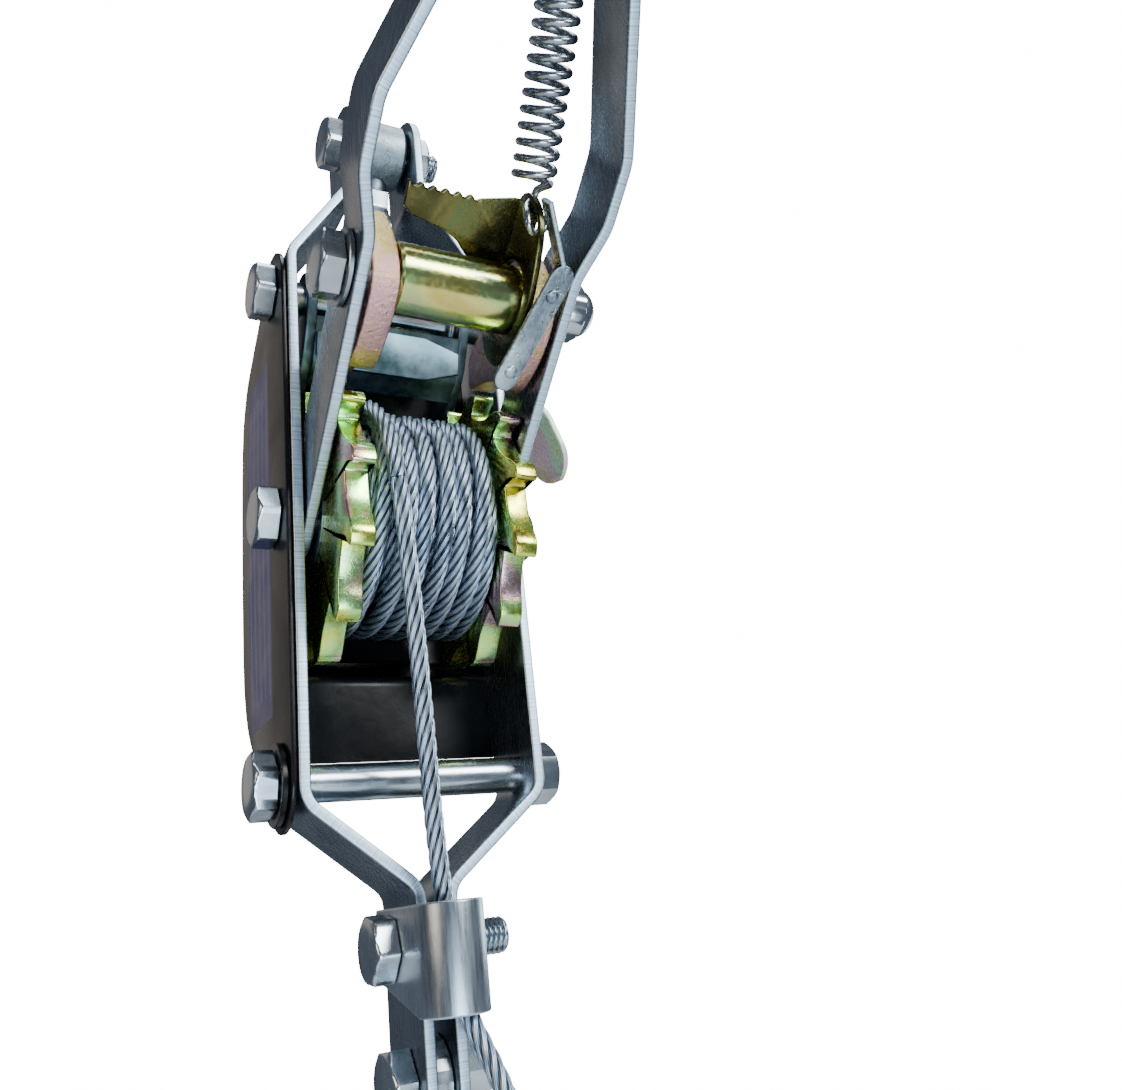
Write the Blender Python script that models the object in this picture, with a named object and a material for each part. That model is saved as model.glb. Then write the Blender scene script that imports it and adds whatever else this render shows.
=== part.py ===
"""Come along winch: a double gear hand puller with a double rope line.

World frame, metres: +X runs along the drum axle towards the nut side, -Y is the front where the rope
leaves the drum, +Z points up the frame. The origin is the centre of the anchor bolt that the puller
hangs from. Every outline below is written in (y, z), (x, z) or (x, y) pairs of that frame, measured from
the centre that the sub-assembly turns or stands on.
"""
import math

import bmesh
import bpy
from mathutils import Matrix, Vector

MM = 0.001
GAP = 0.3 * MM  # running gap between neighbouring pieces

# Frame
STRAP_T = 3.6 * MM
STRAP_DEPTH = 32 * MM
FRAME_HALF = 41 * MM  # outer face of a strap beside the drum
TAIL_TOP_HALF = 14.6 * MM  # outer face of the upper tails
TAIL_LOW_HALF = 6.8 * MM  # outer face of the lower tails
BEND_R = 9 * MM

# Heights on the frame, from the drum axle
PAWL_BOLT_Z = 89 * MM
ANCHOR_Z = 165 * MM
CROSS_BOLT_Z = -89 * MM
GUIDE_Z = -140 * MM
DEAD_END_Z = -178 * MM
SHEAVE_Z = -287 * MM
AXLE_Z = -ANCHOR_Z

# Fasteners, M12
BOLT_R = 6 * MM
HOLE_R = BOLT_R + GAP
HEX_AF = 19 * MM
HEAD_H = 7.5 * MM
NUT_H = 9.5 * MM

# Drum
GEAR_TEETH = 12
GEAR_ROOT_R = 42 * MM
GEAR_TIP_R = 51 * MM
GEAR_IN = 23.6 * MM
GEAR_OUT = 31.6 * MM
CORE_R = 17 * MM
ROPE_R = 3 * MM
WINDING_R = 37.4 * MM  # the last full layer, which the free rope leaves
TOOTH_FACE_DEG = 62  # where one tooth's steep face stands, from the front towards the top

# Handle
HANDLE_TILT_DEG = 50
HANDLE_T = 4 * MM
HANDLE_DEPTH = 26 * MM
PIVOT_HALF = 34.6 * MM  # middle of a handle strap at the axle
FLARE_HALF = 40 * MM
HANDLE_LEN = 430 * MM
PAWL_TUBE_U = 88 * MM  # pawl tube's distance from the axle, along the handle
TUBE_R = 12.6 * MM
TUBE_HALF = 21.8 * MM
SPRING_PIN_U = 208 * MM
PAWL_IN = 22.2 * MM
PAWL_OUT = 31.2 * MM
PAWL_LIFT_DEG = 19  # how far the pawls stand clear of the teeth at rest
HOLD_LIFT_DEG = 12

# Rigging
SHEAVE_Y = -14 * MM
SHEAVE_PITCH_R = 22 * MM
BLOCK_CHEEK_IN = 7.6 * MM
SHEET_T = 2.5 * MM
YOKE_DROP = 47 * MM
HOOK_SWING_DEG = 21  # how far the anchor hook hangs behind the frame

SIDES = 24
SMALL_SIDES = 12  # bolts, nuts, washers and their holes


# ---------------------------------------------------------------- materials and objects


def material(name, colour, rough, metallic):
    """One Principled material."""
    made = bpy.data.materials.new(name)
    made.use_nodes = True
    shader = made.node_tree.nodes["Principled BSDF"]
    shader.inputs["Base Color"].default_value = (*colour, 1)
    shader.inputs["Roughness"].default_value = rough
    shader.inputs["Metallic"].default_value = metallic
    return made


def empty(name, place, turn_x_deg=0.0, parent=None):
    """A joint axis that moving pieces hang from."""
    made = bpy.data.objects.new(name, None)
    made.location = place
    made.rotation_euler = (math.radians(turn_x_deg), 0, 0)
    made.parent = parent
    bpy.context.scene.collection.objects.link(made)
    return made


def finish(name, bm, mat, parent=None):
    """Turns a bmesh into a named object with its faces out and its round sides smooth."""
    bmesh.ops.remove_doubles(bm, verts=bm.verts, dist=1e-7)
    bmesh.ops.recalc_face_normals(bm, faces=bm.faces)
    mesh = bpy.data.meshes.new(name)
    bm.to_mesh(mesh)
    bm.free()
    if mat:
        mesh.materials.append(mat)
    mesh.shade_smooth()
    mesh.set_sharp_from_angle(angle=math.radians(32))
    made = bpy.data.objects.new(name, mesh)
    made.parent = parent
    bpy.context.scene.collection.objects.link(made)
    return made


def hide_cutter(cutter):
    """Marks a helper solid as a cutter."""
    cutter.hide_render = True
    cutter.display_type = "WIRE"


def combine(target, other, operation):
    """Adds an exact Boolean of another solid, which becomes a hidden cutter."""
    hide_cutter(other)
    step = target.modifiers.new(operation.title(), "BOOLEAN")
    step.operation = operation
    step.solver = "EXACT"
    step.object = other
    return target


# ---------------------------------------------------------------- shapes

AXES = {"X": lambda a, b, h: (h, a, b), "Y": lambda a, b, h: (a, h, b), "Z": lambda a, b, h: (a, b, h)}


def prism(name, outline, low, high, mat, parent=None, along="X"):
    """A flat outline pushed along one axis."""
    place = AXES[along]
    bm = bmesh.new()
    ends = [[bm.verts.new(place(a, b, h)) for a, b in outline] for h in (low, high)]
    bm.faces.new(ends[0])
    bm.faces.new(ends[1])
    for i in range(len(outline)):
        j = (i + 1) % len(outline)
        bm.faces.new((ends[0][i], ends[0][j], ends[1][j], ends[1][i]))
    return finish(name, bm, mat, parent)


def hexagon_radius(across_flats, angle):
    """Distance from the middle of a hexagon to its side at an angle."""
    sector = math.radians(60)
    return across_flats / 2 / math.cos((angle + sector / 2) % sector - sector / 2)


def turned(name, profile, mat, parent=None, along="X", ring=False, centre=(0.0, 0.0), sides=SIDES):
    """Turns (place, radius) stations about an axis. A station with a third item "hex" is a hexagon of that
    distance across flats. ring closes the profile on itself, so the piece has a bore."""
    place = AXES[along]
    bm = bmesh.new()
    rings = []
    for station in profile:
        at, size = station[:2]
        hexed = len(station) > 2
        row = []
        for k in range(sides):
            angle = 2 * math.pi * k / sides
            r = hexagon_radius(size, angle) if hexed else size
            row.append(bm.verts.new(place(centre[0] + r * math.cos(angle), centre[1] + r * math.sin(angle), at)))
        rings.append(row)
    if not ring:
        bm.faces.new(rings[0])
        bm.faces.new(rings[-1])
    for i in range(len(rings) if ring else len(rings) - 1):
        a, b = rings[i], rings[(i + 1) % len(rings)]
        for k in range(sides):
            j = (k + 1) % sides
            bm.faces.new((a[k], a[j], b[j], b[k]))
    return finish(name, bm, mat, parent)


def drill(target, radius, centre, low, high, parent=None, along="X", sides=SMALL_SIDES):
    """Cuts a round hole through a piece."""
    cutter = turned(
        f"{target.name}_cut", [(low, radius), (high, radius)], None, parent, along, centre=centre, sides=sides
    )
    return combine(target, cutter, "DIFFERENCE")


def rounded(points, radius, steps=3):
    """A line through points with its inner corners rounded by arcs."""
    done = [points[0]]
    for before, corner, after in zip(points, points[1:], points[2:]):
        c = Vector(corner)
        into, out = (Vector(before) - c).normalized(), (Vector(after) - c).normalized()
        half = into.angle(out) / 2
        reach = min(radius / math.tan(half), (Vector(before) - c).length / 2, (Vector(after) - c).length / 2)
        start, end = c + into * reach, c + out * reach
        r = reach * math.tan(half)
        middle = c + (into + out).normalized() * (r / math.sin(half))
        for k in range(steps + 1):
            t = k / steps
            spoke = (start - middle).lerp(end - middle, t).normalized() * r
            done.append(tuple(middle + spoke))
    done.append(points[-1])
    return done


def thicken(line, thickness):
    """The closed outline of a sheet that follows a line at its middle."""
    left, right = [], []
    for i, p in enumerate(line):
        before = Vector(line[max(i - 1, 0)])
        after = Vector(line[min(i + 1, len(line) - 1)])
        here = Vector(p)
        into = (here - before).normalized() if i else (after - here).normalized()
        out = (after - here).normalized() if i < len(line) - 1 else into
        across = Vector((-(into + out).y, (into + out).x)).normalized()
        widen = 1 / max(across.dot(Vector((-into.y, into.x))), 0.5)
        left.append(tuple(here + across * thickness / 2 * widen))
        right.append(tuple(here - across * thickness / 2 * widen))
    return left + right[::-1]


def arc(centre, radius, start_deg, end_deg, steps):
    """Points on an arc, both ends included."""
    return [
        (
            centre[0] + radius * math.cos(math.radians(start_deg + (end_deg - start_deg) * k / steps)),
            centre[1] + radius * math.sin(math.radians(start_deg + (end_deg - start_deg) * k / steps)),
        )
        for k in range(steps + 1)
    ]


def stadium(low, high, radius, steps=10):
    """A (y, z) slot outline from low to high, with round ends."""
    return arc((0, high - radius), radius, 0, 180, steps) + arc((0, low + radius), radius, 180, 360, steps)


def smooth_path(points, count):
    """Evenly counted points on a smooth curve through the given points."""
    pts = [Vector(p) for p in points]
    pts = [2 * pts[0] - pts[1], *pts, 2 * pts[-1] - pts[-2]]
    spans = len(pts) - 3
    made = []
    for k in range(count):
        t = k / (count - 1) * spans
        i = min(int(t), spans - 1)
        f = t - i
        a, b, c, d = pts[i : i + 4]
        made.append(
            0.5 * (2 * b + (c - a) * f + (2 * a - 5 * b + 4 * c - d) * f**2 + (3 * b - a - 3 * c + d) * f**3)
        )
    return made


def swept(name, path, radii, mat, parent=None, sides=12):
    """A round bar along a path in the YZ plane, with a radius at each point."""
    bm = bmesh.new()
    rings = []
    for i, p in enumerate(path):
        ahead = (path[min(i + 1, len(path) - 1)] - path[max(i - 1, 0)]).normalized()
        side = Vector((1, 0, 0))
        up = ahead.cross(side).normalized()
        rings.append(
            [
                bm.verts.new(p + radii[i] * (math.cos(a) * side + math.sin(a) * up))
                for a in (2 * math.pi * k / sides for k in range(sides))
            ]
        )
    bm.faces.new(rings[0])
    bm.faces.new(rings[-1])
    for a, b in zip(rings, rings[1:]):
        for k in range(sides):
            j = (k + 1) % sides
            bm.faces.new((a[k], a[j], b[j], b[k]))
    return finish(name, bm, mat, parent)


def polar(angle_deg, radius):
    """A (y, z) point round the axle, with the angle measured from the front towards the top."""
    angle = math.radians(angle_deg)
    return -radius * math.cos(angle), radius * math.sin(angle)


# ---------------------------------------------------------------- fasteners


def bolt(name, head_x, tip_x, z, mat, parent=None, y=0.0, radius=BOLT_R, flats=HEX_AF):
    """A hex bolt along X whose head's bearing face is at head_x."""
    out = math.copysign(1, head_x - tip_x)
    top = head_x + out * HEAD_H
    return turned(
        name,
        [
            (top, flats * 0.47),
            (top - out * 1.2 * MM, flats, "hex"),
            (head_x, flats, "hex"),
            (head_x, radius),
            (tip_x + out * 1 * MM, radius),
            (tip_x, radius - 1 * MM),
        ],
        mat,
        parent,
        centre=(y, z),
        sides=SMALL_SIDES,
    )


def nut(name, near_x, far_x, z, mat, parent=None, y=0.0, bore=HOLE_R, flats=HEX_AF):
    """A hex nut along X."""
    return turned(
        name,
        [(near_x, bore), (near_x, flats, "hex"), (far_x, flats, "hex"), (far_x, bore)],
        mat,
        parent,
        ring=True,
        centre=(y, z),
        sides=SMALL_SIDES,
    )


def washer(name, near_x, far_x, z, outer, mat, parent=None, y=0.0, bore=HOLE_R):
    """A flat ring along X."""
    profile = [(near_x, bore), (near_x, outer), (far_x, outer), (far_x, bore)]
    return turned(name, profile, mat, parent, ring=True, centre=(y, z), sides=SMALL_SIDES)


# ---------------------------------------------------------------- frame


def frame_strap(name, side, mat, frame):
    """One bent side strap, from its rounded upper end to its rounded lower end."""
    half = STRAP_T / 2
    line = rounded(
        [
            (TAIL_LOW_HALF - half, DEAD_END_Z - 19 * MM),
            (TAIL_LOW_HALF - half, -123.5 * MM),
            (FRAME_HALF - half, -96 * MM),
            (FRAME_HALF - half, 99 * MM),
            (TAIL_TOP_HALF - half, 139 * MM),
            (TAIL_TOP_HALF - half, ANCHOR_Z + 19 * MM),
        ],
        BEND_R,
    )
    line = [(side * x, z) for x, z in line]
    strap = prism(name, thicken(line, STRAP_T), -STRAP_DEPTH / 2, STRAP_DEPTH / 2, mat, frame, "Y")
    edge = prism(
        f"{name}_edge",
        stadium(DEAD_END_Z - 16 * MM, ANCHOR_Z + 16 * MM, STRAP_DEPTH / 2),
        -FRAME_HALF - MM,
        FRAME_HALF + MM,
        None,
        frame,
    )
    combine(strap, edge, "INTERSECT")
    for z in (ANCHOR_Z, PAWL_BOLT_Z, 0, CROSS_BOLT_Z, GUIDE_Z, DEAD_END_Z):
        reach = sorted((0, side * (FRAME_HALF + MM)))
        drill(strap, HOLE_R, (0, z), *reach, frame)
    return strap


def guard(mat, frame):
    """The black cover: a cheek plate outside the left strap and a web folded round behind the gears."""
    inner = -FRAME_HALF - GAP
    outer = inner - 1.7 * MM
    cheek_outline = (
        arc((0, PAWL_BOLT_Z), 15 * MM, 180, 20, 8)
        + [(38 * MM, 78 * MM), (47 * MM, 70 * MM), (54.6 * MM, 48 * MM), (54.6 * MM, -37 * MM)]
        + [(50 * MM, -58 * MM), (44 * MM, -69 * MM), (30 * MM, -81 * MM)]
        + arc((0, CROSS_BOLT_Z), 15 * MM, -20, -180, 8)
    )
    cover = prism("guard", cheek_outline, outer, inner, mat, frame)
    fold = [(17.8 * MM, -80 * MM), (17.8 * MM, -51 * MM), (53.8 * MM, -37.5 * MM), (53.8 * MM, 48 * MM)]
    fold += [(46 * MM, 66 * MM), (34 * MM, 76 * MM)]
    web = prism("guard_web", thicken(fold, 1.6 * MM), outer + 0.6 * MM, FRAME_HALF - 3 * MM, None, frame)
    combine(cover, web, "UNION")
    for z in (PAWL_BOLT_Z, 0, CROSS_BOLT_Z):
        drill(cover, HOLE_R, (0, z), outer - MM, inner + MM, frame)
    return cover


def rope_guide(mat, frame):
    """The saddle bolted over the lower tails, whose round front keeps the rope in."""
    inner = TAIL_LOW_HALF + GAP
    outer = inner + 3 * MM
    front = (0, -25 * MM)
    rear = 13 * MM
    shape = [(outer, rear), *[(outer, front[1])], *arc(front, outer, 0, -180, 12)[1:], (-outer, rear), (-inner, rear)]
    shape += [*arc(front, inner, 180, 360, 12), (inner, rear)]
    saddle = prism("rope_guide", shape, -161 * MM, -128.3 * MM, mat, frame, "Z")
    sides = [(14 * MM, -129 * MM), (-37 * MM, -128 * MM), (-37 * MM, -159.5 * MM), (-20 * MM, -159 * MM)]
    sides += [(14 * MM, -150 * MM)]
    combine(saddle, prism("rope_guide_side", sides, -20 * MM, 20 * MM, None, frame), "INTERSECT")
    return drill(saddle, HOLE_R, (0, GUIDE_Z), -20 * MM, 20 * MM, frame)


def build_frame(paint):
    """Everything that stays with the hanging frame."""
    frame = empty("frame_axis", (0, 0, AXLE_Z))
    frame_strap("frame_strap_left", -1, paint["zinc"], frame)
    frame_strap("frame_strap_right", 1, paint["zinc"], frame)
    guard(paint["black"], frame)
    rope_guide(paint["zinc"], frame)
    cheek_out = -FRAME_HALF - GAP - 1.7 * MM
    strap_out = FRAME_HALF + GAP
    bolt("pawl_bolt", cheek_out - GAP, 54 * MM, PAWL_BOLT_Z, paint["fastener"], frame)
    nut("pawl_nut", strap_out + 2.8 * MM, strap_out + 2.8 * MM + NUT_H, PAWL_BOLT_Z, paint["fastener"], frame)
    bolt("axle_bolt", cheek_out - GAP, 53 * MM, 0, paint["fastener"], frame)
    nut("axle_nut", strap_out, strap_out + NUT_H, 0, paint["fastener"], frame)
    washer("cross_washer", cheek_out - GAP, cheek_out - 2.2 * MM, CROSS_BOLT_Z, 13 * MM, paint["black"], frame)
    bolt("cross_bolt", cheek_out - 2.5 * MM, 53 * MM, CROSS_BOLT_Z, paint["fastener"], frame)
    nut("cross_nut", strap_out, strap_out + NUT_H, CROSS_BOLT_Z, paint["fastener"], frame)
    bolt("anchor_bolt", -TAIL_TOP_HALF - GAP, 26 * MM, ANCHOR_Z, paint["fastener"], frame)
    nut("anchor_nut", TAIL_TOP_HALF + GAP, TAIL_TOP_HALF + 6.3 * MM, ANCHOR_Z, paint["fastener"], frame)
    saddle_out = TAIL_LOW_HALF + 3 * MM + 2 * GAP
    bolt("guide_bolt", -saddle_out, 28 * MM, GUIDE_Z, paint["fastener"], frame)
    tail_out = TAIL_LOW_HALF + GAP
    bolt("dead_end_bolt", -tail_out, 22 * MM, DEAD_END_Z, paint["fastener"], frame)
    nut("dead_end_nut", tail_out, tail_out + NUT_H, DEAD_END_Z, paint["fastener"], frame)
    washer("pawl_spring", 23.2 * MM, 27.5 * MM, PAWL_BOLT_Z, 9 * MM, paint["spring"], frame, bore=6.8 * MM)
    return frame


# ---------------------------------------------------------------- drum


def tooth_outline():
    """The ratchet wheel's outline: each tooth has a steep face towards the front and a hollow back."""
    tooth = [(0.0, 42.4), (0.4, 46.0), (-1.4, 50.2), (0.2, 51.0), (4.0, 50.6), (7.5, 48.0), (12.0, 44.8)]
    tooth += [(17.5, 42.8), (23.0, 42.0), (28.0, 42.0)]
    pitch = 360 / GEAR_TEETH
    return [polar(TOOTH_FACE_DEG + pitch * k + a, r * MM) for k in range(GEAR_TEETH) for a, r in tooth]


def build_drum(paint):
    """The rope drum: a core, a ratchet wheel at each end and the wound rope."""
    drum = empty("drum_axis", (0, 0, AXLE_Z))
    turned(
        "drum_core",
        [(-GEAR_OUT, HOLE_R), (-GEAR_OUT, CORE_R), (GEAR_OUT, CORE_R), (GEAR_OUT, HOLE_R)],
        paint["zinc"],
        drum,
        ring=True,
    )
    for name, low, high in (("gear_left", -GEAR_OUT, -GEAR_IN), ("gear_right", GEAR_IN, GEAR_OUT)):
        gear = prism(name, tooth_outline(), low, high, paint["yellow"], drum)
        drill(gear, CORE_R + GAP, (0, 0), low - MM, high + MM, drum, sides=SIDES)
    flank = GEAR_IN - GAP
    bore = CORE_R + GAP
    turned(
        "rope_winding",
        [(-flank, bore), (-flank, WINDING_R), (flank, WINDING_R), (flank, bore)],
        paint["rope"],
        drum,
        ring=True,
        sides=SIDES,
    )
    return drum


# ---------------------------------------------------------------- handle


def handle_strap(name, side, mat, handle):
    """One flat strap of the fork, running out to the grip where the two lie together."""
    meet = HANDLE_T / 2 + GAP / 2
    line = rounded(
        [
            (PIVOT_HALF, -HANDLE_DEPTH / 2),
            (PIVOT_HALF, 101 * MM),
            (FLARE_HALF, 119 * MM),
            (FLARE_HALF, 140 * MM),
            (meet, 262 * MM),
            (meet, HANDLE_LEN),
        ],
        12 * MM,
        3,
    )
    line = [(side * x, z) for x, z in line]
    strap = prism(name, thicken(line, HANDLE_T), -HANDLE_DEPTH / 2, HANDLE_DEPTH / 2, mat, handle, "Y")
    edge = prism(
        f"{name}_edge",
        stadium(-HANDLE_DEPTH / 2, HANDLE_LEN, HANDLE_DEPTH / 2),
        -50 * MM,
        50 * MM,
        None,
        handle,
    )
    combine(strap, edge, "INTERSECT")
    reach = sorted((0, side * 50 * MM))
    for u, radius in ((0, HOLE_R), (PAWL_TUBE_U, HOLE_R), (SPRING_PIN_U, 2.5 * MM + GAP), *HANDLE_RIVETS):
        drill(strap, radius, (0, u), *reach, handle)
    return strap


RIVET_R = 4 * MM
HANDLE_RIVETS = ((276 * MM, RIVET_R + GAP), (300 * MM, RIVET_R + GAP))
GRIP_START = 318 * MM


def build_handle(paint):
    """The handle fork, its bolt, rivets, grip and the pin that the pull spring hangs on."""
    handle = empty("handle_axis", (0, 0, AXLE_Z), HANDLE_TILT_DEG)
    handle_strap("handle_strap_left", -1, paint["zinc"], handle)
    handle_strap("handle_strap_right", 1, paint["zinc"], handle)
    out = PIVOT_HALF + HANDLE_T / 2 + GAP
    bolt("handle_bolt", -out - 2 * MM, out + 6 * MM, PAWL_TUBE_U, paint["fastener"], handle)
    turned(
        "handle_nut",
        [
            (out, HOLE_R),
            (out, HEX_AF, "hex"),
            (out + 6.5 * MM, HEX_AF, "hex"),
            (out + 6.5 * MM, 8.6 * MM),
            (out + 10.5 * MM, 7.4 * MM),
            (out + 13 * MM, 4 * MM),
            (out + 13.6 * MM, 1.2 * MM),
            (out + 8 * MM, 1.2 * MM),
            (out + 8 * MM, HOLE_R),
        ],
        paint["fastener"],
        handle,
        ring=True,
        centre=(0, PAWL_TUBE_U),
    )
    washer("handle_washer", -out, -out - 1.7 * MM, PAWL_TUBE_U, 12 * MM, paint["zinc"], handle)
    half = HANDLE_T + GAP
    for i, (u, _) in enumerate(HANDLE_RIVETS):
        turned(
            f"handle_rivet_{i + 1}",
            [
                (-half - 2.4 * MM, 4 * MM),
                (-half - 1.4 * MM, 6.5 * MM),
                (-half - GAP, 7 * MM),
                (-half - GAP, RIVET_R),
                (half + GAP, RIVET_R),
                (half + GAP, 7 * MM),
                (half + 1.4 * MM, 6.5 * MM),
                (half + 2.4 * MM, 4 * MM),
            ],
            paint["fastener"],
            handle,
            centre=(0, u),
            sides=16,
        )
    pin = 22.5 * MM
    turned(
        "spring_pin",
        [
            (-pin - 2 * MM, 4 * MM),
            (-pin, 4 * MM),
            (-pin, 2.5 * MM),
            (pin, 2.5 * MM),
            (pin, 4 * MM),
            (pin + 2 * MM, 4 * MM),
        ],
        paint["fastener"],
        handle,
        centre=(0, SPRING_PIN_U),
        sides=16,
    )
    grip_in = [(HANDLE_T + GAP * 2, HANDLE_DEPTH / 2 + GAP)]
    x_in, y_in = grip_in[0]
    x_out, y_out = 11 * MM, 17 * MM
    grip = prism("handle_grip", oval(x_out, y_out, 24), GRIP_START, HANDLE_LEN + 6 * MM, paint["rubber"], handle, "Z")
    slot = [(-x_in, -y_in), (x_in, -y_in), (x_in, y_in), (-x_in, y_in)]
    pocket = prism("handle_grip_slot", slot, GRIP_START - MM, HANDLE_LEN + GAP, None, handle, "Z")
    combine(grip, pocket, "DIFFERENCE")
    return handle


def oval(half_x, half_y, count):
    """A superellipse outline, between an oval and a rounded box."""
    made = []
    for k in range(count):
        a = 2 * math.pi * k / count
        c, s = math.cos(a), math.sin(a)
        made.append(
            (
                half_x * math.copysign(abs(c) ** 0.7, c),
                half_y * math.copysign(abs(s) ** 0.7, s),
            )
        )
    return made


# ---------------------------------------------------------------- drive pawls


def to_handle(point):
    """A (y, z) point round the axle, in the pawl tube's frame when the pawls are on the teeth."""
    turn = math.radians(-HANDLE_TILT_DEG)
    y, z = point
    return y * math.cos(turn) - z * math.sin(turn), y * math.sin(turn) + z * math.cos(turn) - PAWL_TUBE_U


def turned_back(point, angle_deg):
    """A (y, z) point of the rest pose, in the frame of a pivot that stands at an angle at rest."""
    turn = math.radians(-angle_deg)
    y, z = point
    return y * math.cos(turn) - z * math.sin(turn), y * math.sin(turn) + z * math.cos(turn)


def nose(face_deg, sweep_deg):
    """A pawl's nose under a tooth's steep face, as points round the axle. sweep_deg is how far the pawl's swing
    carries the nose towards that face for each millimetre it moves out, so that it comes out freely."""
    clear, full = 2.5, 50.8
    tip = face_deg - clear - sweep_deg * (full - 44)
    points = [polar(tip - 5.5, 49 * MM), polar(tip - 3, 45.8 * MM)]
    points += [polar(face_deg - clear - sweep_deg * (full - r), r * MM) for r in (44, 47.4, full)]
    return [*points, polar(face_deg - clear - 0.6, 54 * MM)]


def drive_pawl_outline():
    """Side view of a drive pawl in the pawl tube's frame, its nose under a tooth's steep face."""
    shape = [(20, -6), (25, 8), (23, 17), (2, 12), (-9, 6), (-13, -2), (-12, -14), (-7, -26), (-2, -31), (3, -29)]
    body = [turned_back((y * MM, z * MM), PAWL_LIFT_DEG) for y, z in shape]
    return [to_handle(p) for p in nose(TOOTH_FACE_DEG, 1.6)] + body


def build_drive_pawl(paint, handle):
    """The two drive pawls, the tube between them, the thumb plate and the outer strip."""
    pivot = empty("drive_pawl_axis", (0, 0, PAWL_TUBE_U), PAWL_LIFT_DEG, handle)
    for name, low, high in (("drive_pawl_left", -PAWL_OUT, -PAWL_IN), ("drive_pawl_right", PAWL_IN, PAWL_OUT)):
        pawl = prism(name, drive_pawl_outline(), low, high, paint["yellow"], pivot)
        drill(pawl, HOLE_R, (0, 0), low - MM, high + MM, pivot)
    turned(
        "pawl_tube",
        [(-TUBE_HALF, HOLE_R), (-TUBE_HALF, TUBE_R), (TUBE_HALF, TUBE_R), (TUBE_HALF, HOLE_R)],
        paint["yellow"],
        pivot,
        ring=True,
    )
    side = [(12 * MM, -18 * MM), (17 * MM, 0), (15 * MM, 14 * MM), (7 * MM, 33 * MM), (-8 * MM, 33 * MM)]
    side += [(-15 * MM, 14 * MM), (-17.5 * MM, 0), (-12 * MM, -19 * MM), (0, -23 * MM)]
    plate = prism("thumb_plate", side, 17.4 * MM, 19.8 * MM, paint["yellow"], pivot)
    tab = prism(
        "thumb_tab",
        [(-20 * MM, 27 * MM), (18 * MM, 27 * MM), (18 * MM, 29.4 * MM), (-20 * MM, 29.4 * MM)],
        -7 * MM,
        8 * MM,
        None,
        pivot,
        "Y",
    )
    combine(plate, tab, "UNION")
    drill(plate, TUBE_R + GAP, (0, 0), 16 * MM, 21 * MM, pivot, sides=SIDES)
    strip = rounded([(22.5 * MM, 27 * MM), (30.5 * MM, 11 * MM), (20 * MM, -26 * MM)], 5 * MM)
    prism("outer_strip", thicken(strip, 2.2 * MM), -25 * MM, -17 * MM, paint["zinc"], pivot, "Y")
    return pivot


# ---------------------------------------------------------------- holding pawl


def build_holding_pawl(paint):
    """The stamped holding pawl with its two noses, and the thumb lever outside the frame."""
    pivot = empty("holding_pawl_axis", (0, 0, AXLE_Z + PAWL_BOLT_Z), HOLD_LIFT_DEG)
    face = TOOTH_FACE_DEG + 60

    tip = [(y, z - PAWL_BOLT_Z) for y, z in nose(face, 0.95)]
    arm = tip + [(12 * MM, 0), (8 * MM, 9 * MM), (-2 * MM, 11 * MM), (-10 * MM, 4 * MM), (-8 * MM, -12 * MM)]
    arm += [(-2 * MM, -26 * MM)]
    stamping = prism("holding_pawl", arm, -32 * MM, -28 * MM, paint["zinc"], pivot)
    right = prism("holding_pawl_arm", arm, 28 * MM, 32 * MM, None, pivot)
    web = thicken([(-6 * MM, -10.5 * MM), (-1.5 * MM, -24.5 * MM), (4 * MM, -29 * MM)], 2.6 * MM)
    combine(stamping, right, "UNION")
    combine(stamping, prism("holding_pawl_web", web, -30 * MM, 30 * MM, None, pivot), "UNION")
    drill(stamping, HOLE_R, (0, 0), -34 * MM, 34 * MM, pivot)
    near = FRAME_HALF + GAP
    lever_line = rounded(
        [
            (near + 1.2 * MM, 9 * MM),
            (near + 1.2 * MM, -37 * MM),
            (near + 10 * MM, -47 * MM),
            (near + 21 * MM, -68 * MM),
        ],
        8 * MM,
    )
    lever = prism("release_lever", thicken(lever_line, 2.4 * MM), -40 * MM, 12 * MM, paint["yellow"], pivot, "Y")
    side = arc((0, 0), 10 * MM, 0, 180, 6) + [(-10 * MM, -6 * MM), (-22 * MM, -32 * MM), (-36 * MM, -42 * MM)]
    side += [(-38 * MM, -56 * MM), (-30 * MM, -69 * MM), (-14 * MM, -69 * MM), (-5 * MM, -56 * MM), (-6 * MM, -36 * MM)]
    side += [(8 * MM, -8 * MM)]
    combine(lever, prism("release_lever_side", side, 40 * MM, 68 * MM, None, pivot), "INTERSECT")
    drill(lever, HOLE_R, (0, 0), 40 * MM, 46 * MM, pivot)
    return pivot


# ---------------------------------------------------------------- hooks, block and rope


def hook_bar(name, drop, mat, parent):
    """The bent bar of a lifting hook, which opens to the front below its neck."""
    centre = -drop - 44 * MM
    bowl = 19 * MM
    points = [(0, 0, -drop), (0, 1 * MM, -drop - 12 * MM), (0, 13 * MM, centre + 16 * MM)]
    points += [(0, bowl * math.cos(math.radians(a)), centre + bowl * math.sin(math.radians(a))) for a in (10, -30, -70)]
    points += [(0, -bowl * math.cos(math.radians(a)), centre + bowl * math.sin(math.radians(a))) for a in (-70, -30)]
    points += [(0, -bowl - 1 * MM, centre + 3 * MM), (0, -bowl - 3 * MM, centre + 14 * MM)]
    path = smooth_path(points, 28)
    last = len(path) - 1
    radii = []
    for i in range(last + 1):
        t = i / last
        swell = math.sin(math.pi * min(max((t - 0.15) / 0.7, 0), 1))
        radii.append((6.2 + 2.4 * swell - 2.2 * max(t - 0.8, 0) / 0.2) * MM)
    return swept(name, path, radii, mat, parent)


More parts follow.
